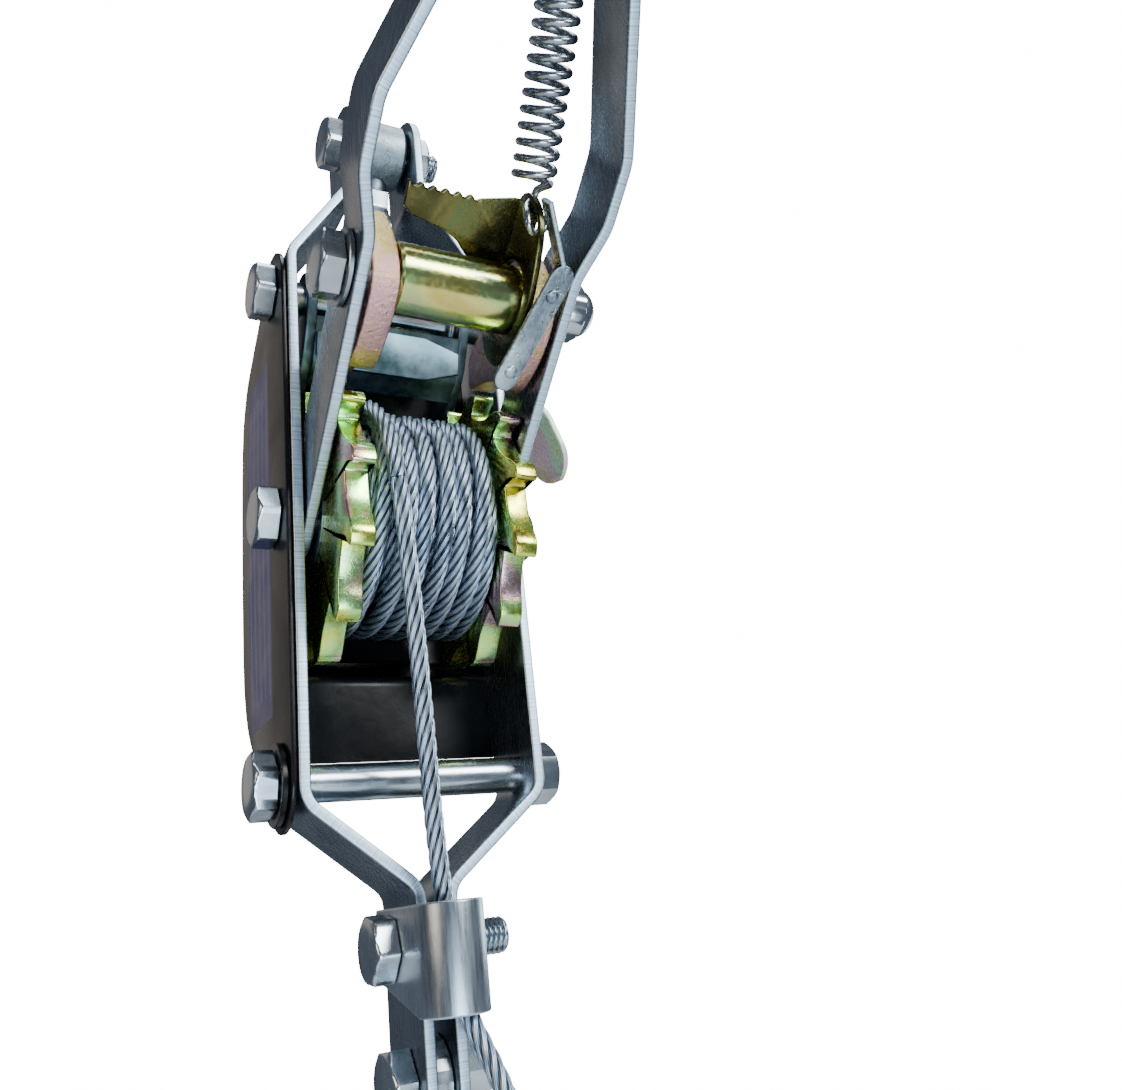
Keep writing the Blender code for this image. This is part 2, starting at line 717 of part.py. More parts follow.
def latch(name, drop, parent, mat):
    """The sprung strip that closes a hook's mouth."""
    centre = -drop - 44 * MM
    line = [(-7.6 * MM, centre + 36 * MM), (-8.4 * MM, centre + 29 * MM), (-15.4 * MM, centre + 21 * MM)]
    line += [(-15.8 * MM, centre + 12 * MM)]
    return prism(name, thicken(rounded(line, 4 * MM, 3), 1.6 * MM), -4.5 * MM, 4.5 * MM, mat, parent)


def build_anchor_hook(paint):
    """The hook on the anchor bolt, hanging behind the frame."""
    pivot = empty("anchor_hook_axis", (0, 0, 0), HOOK_SWING_DEG)
    eye_half = TAIL_TOP_HALF - STRAP_T - 1.2 * MM
    hook = turned(
        "anchor_hook",
        [(-eye_half, HOLE_R), (-eye_half, 13 * MM), (eye_half, 13 * MM), (eye_half, HOLE_R)],
        paint["forged"],
        pivot,
        ring=True,
    )
    combine(hook, hook_bar("anchor_hook_bar", 9 * MM, None, pivot), "UNION")
    latch("anchor_latch", 9 * MM, pivot, paint["zinc"])
    return pivot


def block_cheek(name, low, high, mat, block):
    """One side plate of the snatch block."""
    r_top, r_low = 28 * MM, 14 * MM
    lean = math.degrees(math.asin((r_top - r_low) / YOKE_DROP))
    outline = arc((0, 0), r_top, -lean, 180 + lean, 16) + arc((0, -YOKE_DROP), r_low, 180 + lean, 360 - lean, 10)
    plate = prism(name, outline, low, high, mat, block)
    drill(plate, HOLE_R, (0, 0), low - MM, high + MM, block)
    drill(plate, HOLE_R, (0, -YOKE_DROP), low - MM, high + MM, block)
    return plate


def build_block(paint):
    """The snatch block: two side plates, their bolts, the yoke, and the sheave that turns between them."""
    block = empty("block_axis", (0, SHEAVE_Y, AXLE_Z + SHEAVE_Z))
    inner, outer = BLOCK_CHEEK_IN, BLOCK_CHEEK_IN + SHEET_T
    block_cheek("block_cheek_left", -outer, -inner, paint["zinc"], block)
    block_cheek("block_cheek_right", inner, outer, paint["zinc"], block)
    far = outer + GAP
    for name, z in (("sheave", 0), ("yoke", -YOKE_DROP)):
        bolt(f"{name}_bolt", -far, far + NUT_H + 2 * MM, z, paint["fastener"], block)
        nut(f"{name}_nut", far, far + NUT_H, z, paint["fastener"], block)
    wide = BLOCK_CHEEK_IN - GAP - 0.5 * MM
    groove = SHEAVE_PITCH_R - ROPE_R - 0.6 * MM
    turned(
        "sheave",
        [
            (-wide, HOLE_R),
            (-wide, 26 * MM),
            (-wide + 1.2 * MM, 26 * MM),
            (-3.0 * MM, groove + 1 * MM),
            (0, groove),
            (3.0 * MM, groove + 1 * MM),
            (wide - 1.2 * MM, 26 * MM),
            (wide, 26 * MM),
            (wide, HOLE_R),
        ],
        paint["sheave"],
        empty("sheave_axis", (0, 0, 0), 0, block),
        ring=True,
        sides=SIDES,
    )
    yoke_axis = empty("block_hook_axis", (0, 0, -YOKE_DROP), 0, block)
    yoke = prism(
        "block_yoke",
        [(-8 * MM, 11 * MM), (8 * MM, 11 * MM), (11 * MM, -4 * MM), (11 * MM, -19 * MM), (-11 * MM, -19 * MM)]
        + [(-11 * MM, -4 * MM)],
        -inner + GAP,
        inner - GAP,
        paint["forged"],
        yoke_axis,
    )
    drill(yoke, HOLE_R, (0, 0), -10 * MM, 10 * MM, yoke_axis)
    stem = turned("yoke_stem_hole", [(-21 * MM, 5.4 * MM), (-15 * MM, 5.4 * MM)], None, yoke_axis, "Z")
    stem_room = turned("yoke_stem_room", [(-15.1 * MM, 6.4 * MM), (-9 * MM, 6.4 * MM)], None, yoke_axis, "Z")
    combine(combine(yoke, stem, "DIFFERENCE"), stem_room, "DIFFERENCE")
    hook = turned(
        "block_hook",
        [
            (-9.4 * MM, 6.0 * MM),
            (-14.7 * MM, 6.0 * MM),
            (-14.7 * MM, 5.0 * MM),
            (-19.4 * MM, 5.0 * MM),
            (-19.4 * MM, 9.5 * MM),
            (-26 * MM, 8 * MM),
        ],
        paint["forged"],
        yoke_axis,
        "Z",
    )
    combine(hook, hook_bar("block_hook_bar", 22 * MM, None, yoke_axis), "UNION")
    latch("block_latch", 22 * MM, yoke_axis, paint["zinc"])
    return block


def rope_route():
    """The free rope's own points: off the drum, through the saddle, round the sheave and up to the ferrule."""
    points = [(-4.4, -41, 0), (-4.6, -40.4, -12), (-4.2, -36.8, -40), (-3.4, -31.5, -75), (-2.4, -27, -108)]
    points += [(-1, -24.5, -130), (0.6, -24.5, -146), (3, -27, -160), (7, -33, -174), (10.5, -40, -190)]
    points += [(11.5, -45, -207), (10, -46.5, -225), (6, -44, -246), (2, -39.5, -266)]
    bottom = [
        (0, SHEAVE_Y / MM - 22 * math.cos(math.radians(a)), SHEAVE_Z / MM - 22 * math.sin(math.radians(a)))
        for a in (0, 30, 60, 90, 120, 150, 180)
    ]
    points += bottom
    points += [(0, 6, -268), (0, 2.5, -250), (0, 0.5, -236), (0, 0, -227.4)]
    return [Vector(p) * MM + Vector((0, 0, AXLE_Z)) for p in points]


def build_rope(paint):
    """The free rope as a tube, its eye round the dead end bolt and the ferrule that closes it."""
    path = smooth_path(rope_route(), 56)
    curve = bpy.data.curves.new("rope_run", "CURVE")
    curve.dimensions = "3D"
    curve.bevel_depth = ROPE_R - 0.15 * MM
    curve.bevel_resolution = 2
    curve.use_fill_caps = True
    spline = curve.splines.new("POLY")
    spline.points.add(len(path) - 1)
    for point, p in zip(spline.points, path):
        point.co = (*p, 1)
    curve.materials.append(paint["rope"])
    bpy.context.scene.collection.objects.link(bpy.data.objects.new("rope_run", curve))
    half = 2.7 * MM
    z = AXLE_Z + DEAD_END_Z
    outline = arc((0, 0), 12.4 * MM, -15, 195, 14) + [(-5.4 * MM, -26.5 * MM), (5.4 * MM, -26.5 * MM)]
    outline = [(y, z + dz) for y, dz in outline]
    eye = prism("rope_eye", outline, -half, half, paint["rope"])
    hole = [(y, z + dz) for y, dz in arc((0, 0), 6.5 * MM, -20, 200, 12) + [(0, -20 * MM)]]
    combine(eye, prism("rope_eye_hole", hole, -half - MM, half + MM, None), "DIFFERENCE")
    turned(
        "rope_ferrule",
        [(z - 26.8 * MM, 5.4 * MM), (z - 28 * MM, 6.4 * MM), (z - 47.5 * MM, 6.4 * MM), (z - 49 * MM, 4.6 * MM)],
        paint["ferrule"],
        along="Z",
    )


def build_spring(paint, handle):
    """The pull spring's outer shape, from the thumb plate's hole to the pin between the handle straps."""
    low = Vector((17.6 * MM, 0, PAWL_TUBE_U + 41 * MM))
    high = Vector((8 * MM, 0, SPRING_PIN_U - 9 * MM))
    run = high - low
    spring = turned("pull_spring", [(0, 5.9 * MM), (run.length, 5.9 * MM)], paint["spring"], handle, "Z", sides=16)
    turn = Vector((0, 0, 1)).rotation_difference(run).to_matrix().to_4x4()
    spring.matrix_local = Matrix.Translation(low) @ turn
    return spring


def main():
    """Clears the scene and builds the whole puller."""
    for old in list(bpy.data.objects):
        bpy.data.objects.remove(old)
    paint = {
        "zinc": material("bright_zinc", (0.55, 0.60, 0.63), 0.32, 0.9),
        "fastener": material("fastener_zinc", (0.52, 0.56, 0.58), 0.3, 0.95),
        "yellow": material("yellow_zinc", (0.62, 0.55, 0.22), 0.35, 0.85),
        "black": material("black_guard", (0.012, 0.013, 0.017), 0.4, 0.2),
        "rope": material("wire_rope", (0.42, 0.45, 0.5), 0.4, 0.85),
        "spring": material("spring_wire", (0.4, 0.43, 0.45), 0.3, 0.95),
        "rubber": material("grip_rubber", (0.03, 0.03, 0.035), 0.75, 0.0),
        "forged": material("forged_zinc", (0.45, 0.48, 0.5), 0.45, 0.8),
        "sheave": material("sheave_steel", (0.4, 0.42, 0.45), 0.4, 0.85),
        "ferrule": material("ferrule_alloy", (0.6, 0.61, 0.62), 0.4, 0.85),
    }
    build_frame(paint)
    build_drum(paint)
    handle = build_handle(paint)
    build_drive_pawl(paint, handle)
    build_spring(paint, handle)
    build_holding_pawl(paint)
    build_anchor_hook(paint)
    build_block(paint)
    build_rope(paint)


main()
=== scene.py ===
"""Looks of the come along winch: fine surfaces and finishes round the fixed frame.

Lengths in this file are millimetres until a mesh is made; places come from the loaded frame.
"""

import logging
import math
from dataclasses import dataclass, field
from enum import Enum
from typing import Callable, Optional, Sequence

import bmesh
import bpy
import numpy as np
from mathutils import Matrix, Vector
from mathutils.geometry import tessellate_polygon


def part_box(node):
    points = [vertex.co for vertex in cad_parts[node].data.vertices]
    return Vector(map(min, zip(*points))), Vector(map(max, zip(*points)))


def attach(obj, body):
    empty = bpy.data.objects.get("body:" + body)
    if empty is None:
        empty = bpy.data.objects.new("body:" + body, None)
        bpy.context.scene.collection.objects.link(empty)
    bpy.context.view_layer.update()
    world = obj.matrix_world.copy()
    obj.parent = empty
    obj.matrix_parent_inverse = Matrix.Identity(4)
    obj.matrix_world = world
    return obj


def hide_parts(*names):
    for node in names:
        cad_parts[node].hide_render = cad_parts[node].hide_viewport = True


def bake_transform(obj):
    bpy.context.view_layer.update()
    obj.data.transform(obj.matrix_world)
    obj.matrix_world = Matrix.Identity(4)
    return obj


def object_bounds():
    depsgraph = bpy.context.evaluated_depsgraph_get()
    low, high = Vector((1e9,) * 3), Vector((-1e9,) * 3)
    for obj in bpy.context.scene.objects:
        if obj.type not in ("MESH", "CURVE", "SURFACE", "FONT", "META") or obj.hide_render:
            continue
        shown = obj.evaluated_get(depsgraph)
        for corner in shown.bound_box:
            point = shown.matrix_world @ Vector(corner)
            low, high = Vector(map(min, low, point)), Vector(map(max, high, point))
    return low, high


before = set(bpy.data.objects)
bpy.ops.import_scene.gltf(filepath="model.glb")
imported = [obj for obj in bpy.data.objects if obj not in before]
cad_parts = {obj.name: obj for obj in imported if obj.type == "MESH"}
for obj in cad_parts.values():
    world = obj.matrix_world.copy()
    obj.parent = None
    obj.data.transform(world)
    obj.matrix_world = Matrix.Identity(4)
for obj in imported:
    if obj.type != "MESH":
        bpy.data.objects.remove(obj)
CAD_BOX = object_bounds()

MM = 0.001
LOG = logging.getLogger("puller")
SMOOTH_DEG = 38.0  # creases sharper than this stay crisp
ROUND = 48  # points round a turned piece
FLATS = 19.0  # across a hexagon
HEAD = 7.5  # depth of a bolt's head
BOLT_HOLE = 6.2  # radius of a hole that takes a bolt
CHAMFER = 1.9  # how fast a hexagon's chamfer cone widens with depth


# ---------------------------------------------------------------- places read from the frame


def middle(node: str) -> np.ndarray:
    """Centre of a node's box in millimetres."""
    low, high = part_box(node)
    return (np.array(low) + np.array(high)) / (2 * MM)


def reach(node: str) -> tuple[np.ndarray, np.ndarray]:
    """Lowest and highest corner of a node's box in millimetres."""
    low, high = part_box(node)
    return np.array(low) / MM, np.array(high) / MM


AXLE = middle("drum_core")
PAWL_PIVOT = middle("pawl_tube")
HOLD_PIVOT = middle("pawl_spring") * (0, 1, 1)
TILT_DEG = math.degrees(math.atan2(AXLE[1] - PAWL_PIVOT[1], PAWL_PIVOT[2] - AXLE[2]))


# ---------------------------------------------------------------- node graphs and shared effects


class Graph:
    """A short way to add and join shader nodes."""

    def __init__(self, tree: bpy.types.NodeTree) -> None:
        """Keeps the tree."""
        self.tree = tree

    def add(self, kind: str, links: Optional[dict] = None, **settings: object) -> bpy.types.Node:
        """Adds a node.

        Args:
            kind: the node's class name.
            links: input name or number to an output socket or a plain value.
            settings: attributes of the node.

        Returns:
            The node.
        """
        node = self.tree.nodes.new(kind)
        for key, value in settings.items():
            setattr(node, key, value)
        for key, value in (links or {}).items():
            socket = node.inputs[key]
            if isinstance(value, bpy.types.NodeSocket):
                self.tree.links.new(value, socket)
            else:
                socket.default_value = value
        return node

    def math(self, operation: str, *values: object) -> bpy.types.NodeSocket:
        """Adds a Math node and returns its output."""
        return self.add("ShaderNodeMath", dict(enumerate(values)), operation=operation).outputs[0]

    def ramp(
        self, value: bpy.types.NodeSocket, stops: Sequence[tuple[float, Sequence[float]]]
    ) -> bpy.types.NodeSocket:
        """Adds a colour ramp.

        Args:
            value: what drives it.
            stops: place and colour of each stop.

        Returns:
            The colour output.
        """
        node = self.add("ShaderNodeValToRGB", {"Fac": value})
        band = node.color_ramp
        while len(band.elements) < len(stops):
            band.elements.new(0.5)
        for element, (place, colour) in zip(band.elements, stops):
            element.position = place
            element.color = (*colour, 1.0)
        return node.outputs["Color"]

    def span(self, value: bpy.types.NodeSocket, low: float, high: float) -> bpy.types.NodeSocket:
        """Maps 0 to 1 onto low to high."""
        return self.add(
            "ShaderNodeMapRange", {"Value": value, "To Min": low, "To Max": high}
        ).outputs["Result"]


class Effect(Enum):
    """Surface effects that several finishes share."""

    CLOUD = "soft clouds of tint"
    GRAIN = "drawn lines and fine grit"
    SPECK = "sparse pits and dust"


def effect_group(effect: Effect) -> bpy.types.NodeTree:
    """A node group that puts out one value from 0 to 1 over the surface.

    Args:
        effect: which effect.

    Returns:
        The group, made once.
    """
    found = bpy.data.node_groups.get(effect.name)
    if found:
        return found
    group = bpy.data.node_groups.new(effect.name, "ShaderNodeTree")
    group.interface.new_socket("Scale", in_out="INPUT", socket_type="NodeSocketVector")
    group.interface.new_socket("Value", in_out="OUTPUT", socket_type="NodeSocketFloat")
    graph = Graph(group)
    given = graph.add("NodeGroupInput")
    place = graph.add("ShaderNodeTexCoord").outputs["Object"]
    spot = graph.add(
        "ShaderNodeVectorMath", {0: place, 1: given.outputs["Scale"]}, operation="MULTIPLY"
    ).outputs[0]
    settings, low, high = {
        Effect.CLOUD: ({"Detail": 3.0, "Distortion": 0.6}, 0.32, 0.68),
        Effect.GRAIN: ({"Detail": 5.0, "Roughness": 0.65}, 0.25, 0.75),
        Effect.SPECK: ({"Detail": 2.0, "Roughness": 0.8}, 0.62, 0.74),
    }[effect]
    noise = graph.add("ShaderNodeTexNoise", {"Vector": spot, "Scale": 1.0, **settings})
    value = graph.add(
        "ShaderNodeMapRange", {"Value": noise.outputs[0], "From Min": low, "From Max": high}
    )
    out = graph.add("NodeGroupOutput")
    group.links.new(value.outputs["Result"], out.inputs["Value"])
    return group


def effect_value(graph: Graph, effect: Effect, scale: Sequence[float]) -> bpy.types.NodeSocket:
    """Places a shared effect in a material.

    Args:
        graph: the material's graph.
        effect: which effect.
        scale: repeats per metre along X, Y and Z.

    Returns:
        The effect's value.
    """
    node = graph.add("ShaderNodeGroup", node_tree=effect_group(effect))
    node.inputs["Scale"].default_value = scale
    return node.outputs["Value"]


# ---------------------------------------------------------------- finishes

Colour = tuple[float, float, float]


@dataclass(frozen=True)
class Finish:
    """A finish that is a Principled surface with a base colour, a roughness and a bump of its own.
    """

    name: str

    def material(self) -> bpy.types.Material:
        """The finish's material, made once.

        Returns:
            The material.
        """
        name = f"look_{self.name}"  # the frame's own materials keep their plain names
        found = bpy.data.materials.get(name)
        if found:
            return found
        made = bpy.data.materials.new(name)
        made.use_nodes = True
        graph = Graph(made.node_tree)
        self.dress(graph, made.node_tree.nodes["Principled BSDF"])
        return made

    def dress(self, graph: Graph, shader: bpy.types.Node) -> None:
        """Adds the finish's own nodes."""

    def join(
        self,
        graph: Graph,
        shader: bpy.types.Node,
        colour: bpy.types.NodeSocket,
        rough: bpy.types.NodeSocket,
        height: bpy.types.NodeSocket,
        depth: float,
    ) -> None:
        """Joins colour, roughness and a bump of a depth in metres to the shader.

        Args:
            graph: the material's graph.
            shader: its Principled node.
            colour: the colour.
            rough: the roughness.
            height: the bump's height.
            depth: the bump's depth in metres.
        """
        bump = graph.add("ShaderNodeBump", {"Height": height, "Distance": depth, "Strength": 1.0})
        graph.tree.links.new(colour, shader.inputs["Base Color"])
        graph.tree.links.new(rough, shader.inputs["Roughness"])
        graph.tree.links.new(bump.outputs["Normal"], shader.inputs["Normal"])


@dataclass(frozen=True)
class ZincPlate(Finish):
    """Bright zinc plating over rolled or drawn steel. On bars the UV map's V is 1 on the sheared
    edges, which take a painted highlight.
    """

    dark: Colour = (0.30, 0.33, 0.36)
    light: Colour = (0.56, 0.60, 0.64)
    smooth: float = 0.24
    coarse: float = 0.42
    grain: Colour = (900.0, 900.0, 60.0)
    depth: float = 0.00002
    # whether the sheared edges get shear marks and a painted blue-white highlight
    sheared: bool = False

    def dress(self, graph: Graph, shader: bpy.types.Node) -> None:
        """Clouded grey metal with lengthwise grain, and cross marks on sheared edges under a
        painted bright blue-white highlight.

        Args:
            graph: the material's graph.
            shader: its Principled node.
        """
        cloud = effect_value(graph, Effect.CLOUD, (38.0, 38.0, 26.0))
        grain = effect_value(graph, Effect.GRAIN, self.grain)
        speck = effect_value(graph, Effect.SPECK, (420.0, 420.0, 420.0))
        tone = graph.math(
            "ADD", graph.math("MULTIPLY", cloud, 0.6), graph.math("MULTIPLY", grain, 0.4)
        )
        colour = graph.ramp(tone, [(0.15, self.dark), (0.85, self.light)])
        height = graph.math("SUBTRACT", grain, graph.math("MULTIPLY", speck, 0.8))
        if self.sheared:
            uv = graph.add("ShaderNodeUVMap", uv_map="UVMap").outputs[0]
            parts = graph.add("ShaderNodeSeparateXYZ", {0: uv})
            along = graph.add(
                "ShaderNodeCombineXYZ", {0: graph.math("MULTIPLY", parts.outputs[0], 1400.0)}
            )
            marks = graph.add(
                "ShaderNodeTexNoise", {"Vector": along.outputs[0], "Scale": 1.0, "Detail": 4.0}
            ).outputs[0]
            edge = parts.outputs[1]
            # painted highlight: sheared edges painted bright blue-white, broken up by the real
            # shear marks
            bright = graph.ramp(marks, [(0.35, (0.34, 0.50, 0.68)), (0.65, (0.76, 0.90, 1.0))])
            mix = graph.add("ShaderNodeMix", {0: edge, 6: colour, 7: bright}, data_type="RGBA")
            colour = mix.outputs[2]
            height = graph.math(
                "ADD", height, graph.math("MULTIPLY", graph.math("MULTIPLY", marks, edge), 4.0)
            )
        rough = graph.span(grain, self.smooth, self.coarse)
        if self.sheared:
            rough = graph.math("ADD", rough, graph.math("MULTIPLY", edge, 0.2))
        shader.inputs["Metallic"].default_value = 1.0
        self.join(graph, shader, colour, rough, height, self.depth)


@dataclass(frozen=True)
class YellowZinc(Finish):
    """Yellow passivated zinc, which drifts between gold, green and pink."""

    stops: tuple[tuple[float, Colour], ...] = (
        (0.0, (0.26, 0.20, 0.05)),
        (0.28, (0.74, 0.70, 0.10)),
        (0.45, (0.62, 0.86, 0.16)),
        (0.68, (0.40, 0.80, 0.30)),
        (0.84, (0.70, 0.52, 0.34)),
        (1.0, (0.55, 0.34, 0.50)),
    )
    smooth: float = 0.16
    coarse: float = 0.32
    depth: float = 0.00003
    spread: float = 42.0
    metal: float = 1.0

    def dress(self, graph: Graph, shader: bpy.types.Node) -> None:
        """A slow cloud runs the film through its colours; a fine one roughens it.

        Args:
            graph: the material's graph.
            shader: its Principled node.
        """
        cloud = effect_value(graph, Effect.CLOUD, (self.spread, self.spread * 1.3, self.spread))
        fine = effect_value(graph, Effect.GRAIN, (700.0, 700.0, 700.0))
        speck = effect_value(graph, Effect.SPECK, (260.0, 260.0, 260.0))
        value = graph.math(
            "ADD", graph.math("MULTIPLY", cloud, 0.86), graph.math("MULTIPLY", fine, 0.14)
        )
        colour = graph.ramp(value, self.stops)
        rough = graph.span(fine, self.smooth, self.coarse)
        height = graph.math("SUBTRACT", fine, speck)
        shader.inputs["Metallic"].default_value = self.metal
        self.join(graph, shader, colour, rough, height, self.depth)


@dataclass(frozen=True)
class GlossBlack(Finish):
    """Black gloss paint on sheet steel, with dust and a faint orange peel."""

    colour: Colour = (0.002, 0.0025, 0.004)
    dusty: Colour = (0.012, 0.012, 0.014)

    def dress(self, graph: Graph, shader: bpy.types.Node) -> None:
        """Black with dust clouds, under a clear coat.

        Args:
            graph: the material's graph.
            shader: its Principled node.
        """
        cloud = effect_value(graph, Effect.CLOUD, (30.0, 30.0, 30.0))
        speck = effect_value(graph, Effect.SPECK, (700.0, 700.0, 700.0))
        peel = effect_value(graph, Effect.GRAIN, (220.0, 220.0, 220.0))
        amount = graph.math(
            "MULTIPLY", cloud, graph.math("ADD", graph.math("MULTIPLY", speck, 0.8), 0.12)
        )
        colour = graph.ramp(amount, [(0.0, self.colour), (1.0, self.dusty)])
        rough = graph.span(cloud, 0.2, 0.36)
        shader.inputs["Specular IOR Level"].default_value = 0.2
        shader.inputs["Coat Weight"].default_value = 0.04
        shader.inputs["Coat Roughness"].default_value = 0.1
        self.join(graph, shader, colour, rough, peel, 0.00003)


@dataclass(frozen=True)
class WireRopeSteel(Finish):
    """Bright rope wires. U counts lays along the rope and V counts strands round it."""

    wires: float = 5.0

    def dress(self, graph: Graph, shader: bpy.types.Node) -> None:
        """Wires are stripes across each strand's width, painted brighter on their crowns as a
        painted highlight; painted shade darkens the valleys between strands.

        Args:
            graph: the material's graph.
            shader: its Principled node.
        """
        uv = graph.add("ShaderNodeUVMap", uv_map="UVMap").outputs[0]
        parts = graph.add("ShaderNodeSeparateXYZ", {0: uv})
        across = graph.math("FRACT", parts.outputs[1])
        offset = graph.math("ABSOLUTE", graph.math("SUBTRACT", across, 0.5))
        turn = graph.math(
            "ADD", graph.math("MULTIPLY", across, self.wires),
            graph.math("MULTIPLY", parts.outputs[0], 6.0)
        )
        wave = graph.math("ABSOLUTE", graph.math("SINE", graph.math("MULTIPLY", turn, math.pi)))
        # painted shade: darkens the colour towards the groove between two strands
        strand_gap_shade = graph.add(
            "ShaderNodeMapRange", {
                "Value": offset, "From Min": 0.28, "From Max": 0.5, "To Min": 0.0, "To Max": 1.0
            }
        ).outputs["Result"]
        cloud = effect_value(graph, Effect.CLOUD, (70.0, 70.0, 70.0))
        # painted highlight and painted shade: wire crowns brighter, gaps between wires and between
        # strands darker
        shade = graph.math("MULTIPLY", graph.span(wave, 0.55, 1.0), graph.span(strand_gap_shade, 1.0, 0.25))
        shade = graph.math("MULTIPLY", shade, graph.span(cloud, 0.8, 1.0))
        colour = graph.ramp(
            shade,
            [(0.0, (0.015, 0.02, 0.03)), (0.45, (0.085, 0.12, 0.18)), (1.0, (0.66, 0.78, 0.92))]
        )
        rough = graph.span(cloud, 0.26, 0.4)
        shader.inputs["Metallic"].default_value = 1.0
        self.join(graph, shader, colour, rough, wave, 0.00012)


@dataclass(frozen=True)
class MouldedRubber(Finish):
    """Black moulded rubber with a matt, slightly grey bloom."""

    def dress(self, graph: Graph, shader: bpy.types.Node) -> None:
        """Near black with grey bloom and a stippled skin.

        Args:
            graph: the material's graph.
            shader: its Principled node.
        """
        cloud = effect_value(graph, Effect.CLOUD, (40.0, 40.0, 40.0))
        stipple = effect_value(graph, Effect.GRAIN, (1500.0, 1500.0, 1500.0))
        colour = graph.ramp(cloud, [(0.0, (0.012, 0.012, 0.014)), (1.0, (0.03, 0.03, 0.034))])
        self.join(graph, shader, colour, graph.span(stipple, 0.6, 0.8), stipple, 0.00005)


@dataclass(frozen=True)
class Label(Finish):
    """A printed sticker: violet blue with plain paler bands and no words. U runs along it and V
    across.
    """

    def dress(self, graph: Graph, shader: bpy.types.Node) -> None:
        """Two thin pale rules and a soft block of tint on a violet ground.

        Args:
            graph: the material's graph.
            shader: its Principled node.
        """
        uv = graph.add("ShaderNodeUVMap", uv_map="UVMap").outputs[0]
        parts = graph.add("ShaderNodeSeparateXYZ", {0: uv})
        stripe = graph.math(
            "ABSOLUTE",
            graph.math(
                "SUBTRACT", graph.math("FRACT", graph.math("MULTIPLY", parts.outputs[1], 5.0)), 0.5
            )
        )
        rule = graph.math("LESS_THAN", stripe, 0.09)
        inside = graph.math(
            "LESS_THAN", graph.math("ABSOLUTE", graph.math("SUBTRACT", parts.outputs[0], 0.5)), 0.44
        )
        cloud = effect_value(graph, Effect.CLOUD, (60.0, 60.0, 60.0))
        value = graph.math(
            "ADD", graph.math("MULTIPLY", graph.math("MULTIPLY", rule, inside), 0.5),
            graph.math("MULTIPLY", cloud, 0.3)
        )
        colour = graph.ramp(
            value,
            [(0.0, (0.022, 0.022, 0.11)), (0.3, (0.04, 0.04, 0.17)), (1.0, (0.18, 0.19, 0.34))]
        )
        self.join(graph, shader, colour, graph.span(cloud, 0.3, 0.45), cloud, 0.00001)


@dataclass(frozen=True)
class PaleCard(Finish):
    """The studio's floor."""

    def dress(self, graph: Graph, shader: bpy.types.Node) -> None:
        """Near white card with a very faint mottle.

        Args:
            graph: the material's graph.
            shader: its Principled node.
        """
        cloud = effect_value(graph, Effect.CLOUD, (2.0, 2.0, 2.0))
        colour = graph.ramp(cloud, [(0.0, (0.86, 0.86, 0.86)), (1.0, (0.9, 0.9, 0.9))])
        self.join(graph, shader, colour, graph.span(cloud, 0.8, 0.9), cloud, 0.0001)


STRAP_ZINC = ZincPlate(
    "strap_zinc", dark=(0.15, 0.19, 0.23), light=(0.36, 0.41, 0.46), smooth=0.2, coarse=0.36,
    sheared=True
)
BOLT_ZINC = ZincPlate(
    "bolt_zinc", dark=(0.36, 0.42, 0.47), light=(0.60, 0.66, 0.72), grain=(90.0, 260.0, 260.0),
    smooth=0.2, coarse=0.3, depth=0.000006
)
STAMPED_ZINC = ZincPlate(
    "stamped_zinc", smooth=0.3, coarse=0.46, dark=(0.05, 0.09, 0.11), light=(0.19, 0.27, 0.32),
    grain=(240.0, 240.0, 240.0)
)
FORGED_ZINC = ZincPlate(
    "forged_zinc", dark=(0.13, 0.17, 0.20), light=(0.34, 0.40, 0.45), grain=(330.0, 330.0, 330.0),
    smooth=0.34, coarse=0.56, depth=0.00012
)
STRAP_ZINC_PLAIN = ZincPlate("washer_zinc", grain=(300.0, 300.0, 300.0))
ROUGH_ZINC = ZincPlate(
    "rough_zinc", dark=(0.12, 0.16, 0.20), light=(0.50, 0.60, 0.70), grain=(260.0, 200.0, 200.0),
    depth=0.0003
)
# painted highlight: zinc colours made paler for the saddle, on top of the painted edge highlight
LIT_GUIDE_ZINC = ZincPlate(
    "lit_guide_zinc", dark=(0.30, 0.35, 0.40), light=(0.62, 0.69, 0.76), sheared=True
)
ZINC_CHEEK = ZincPlate(
    "cheek_zinc", dark=(0.17, 0.21, 0.25), light=(0.40, 0.45, 0.50), grain=(60.0, 300.0, 900.0)
)
ROPE_EYE = ZincPlate("rope_eye_steel", grain=(500.0, 500.0, 500.0))
ALLOY = ZincPlate(
    "pressed_alloy", dark=(0.42, 0.43, 0.44), light=(0.68, 0.69, 0.7), grain=(300.0, 300.0, 300.0),
    smooth=0.32, coarse=0.5
)
SPRING_STEEL = ZincPlate(
    "spring_steel", dark=(0.25, 0.28, 0.32), light=(0.62, 0.66, 0.7), grain=(500.0, 500.0, 500.0),
    smooth=0.16, coarse=0.3
)
TOOTH_ZINC = YellowZinc("tooth_zinc")
TUBE_ZINC = YellowZinc(
    "tube_zinc",
    stops=(
        (0.0, (0.26, 0.18, 0.04)), (0.35, (0.58, 0.46, 0.10)), (0.6, (0.70, 0.66, 0.22)),
        (0.8, (0.48, 0.64, 0.24)), (1.0, (0.66, 0.46, 0.36))
    ),
    spread=30.0,
    smooth=0.12,
    coarse=0.24,
)
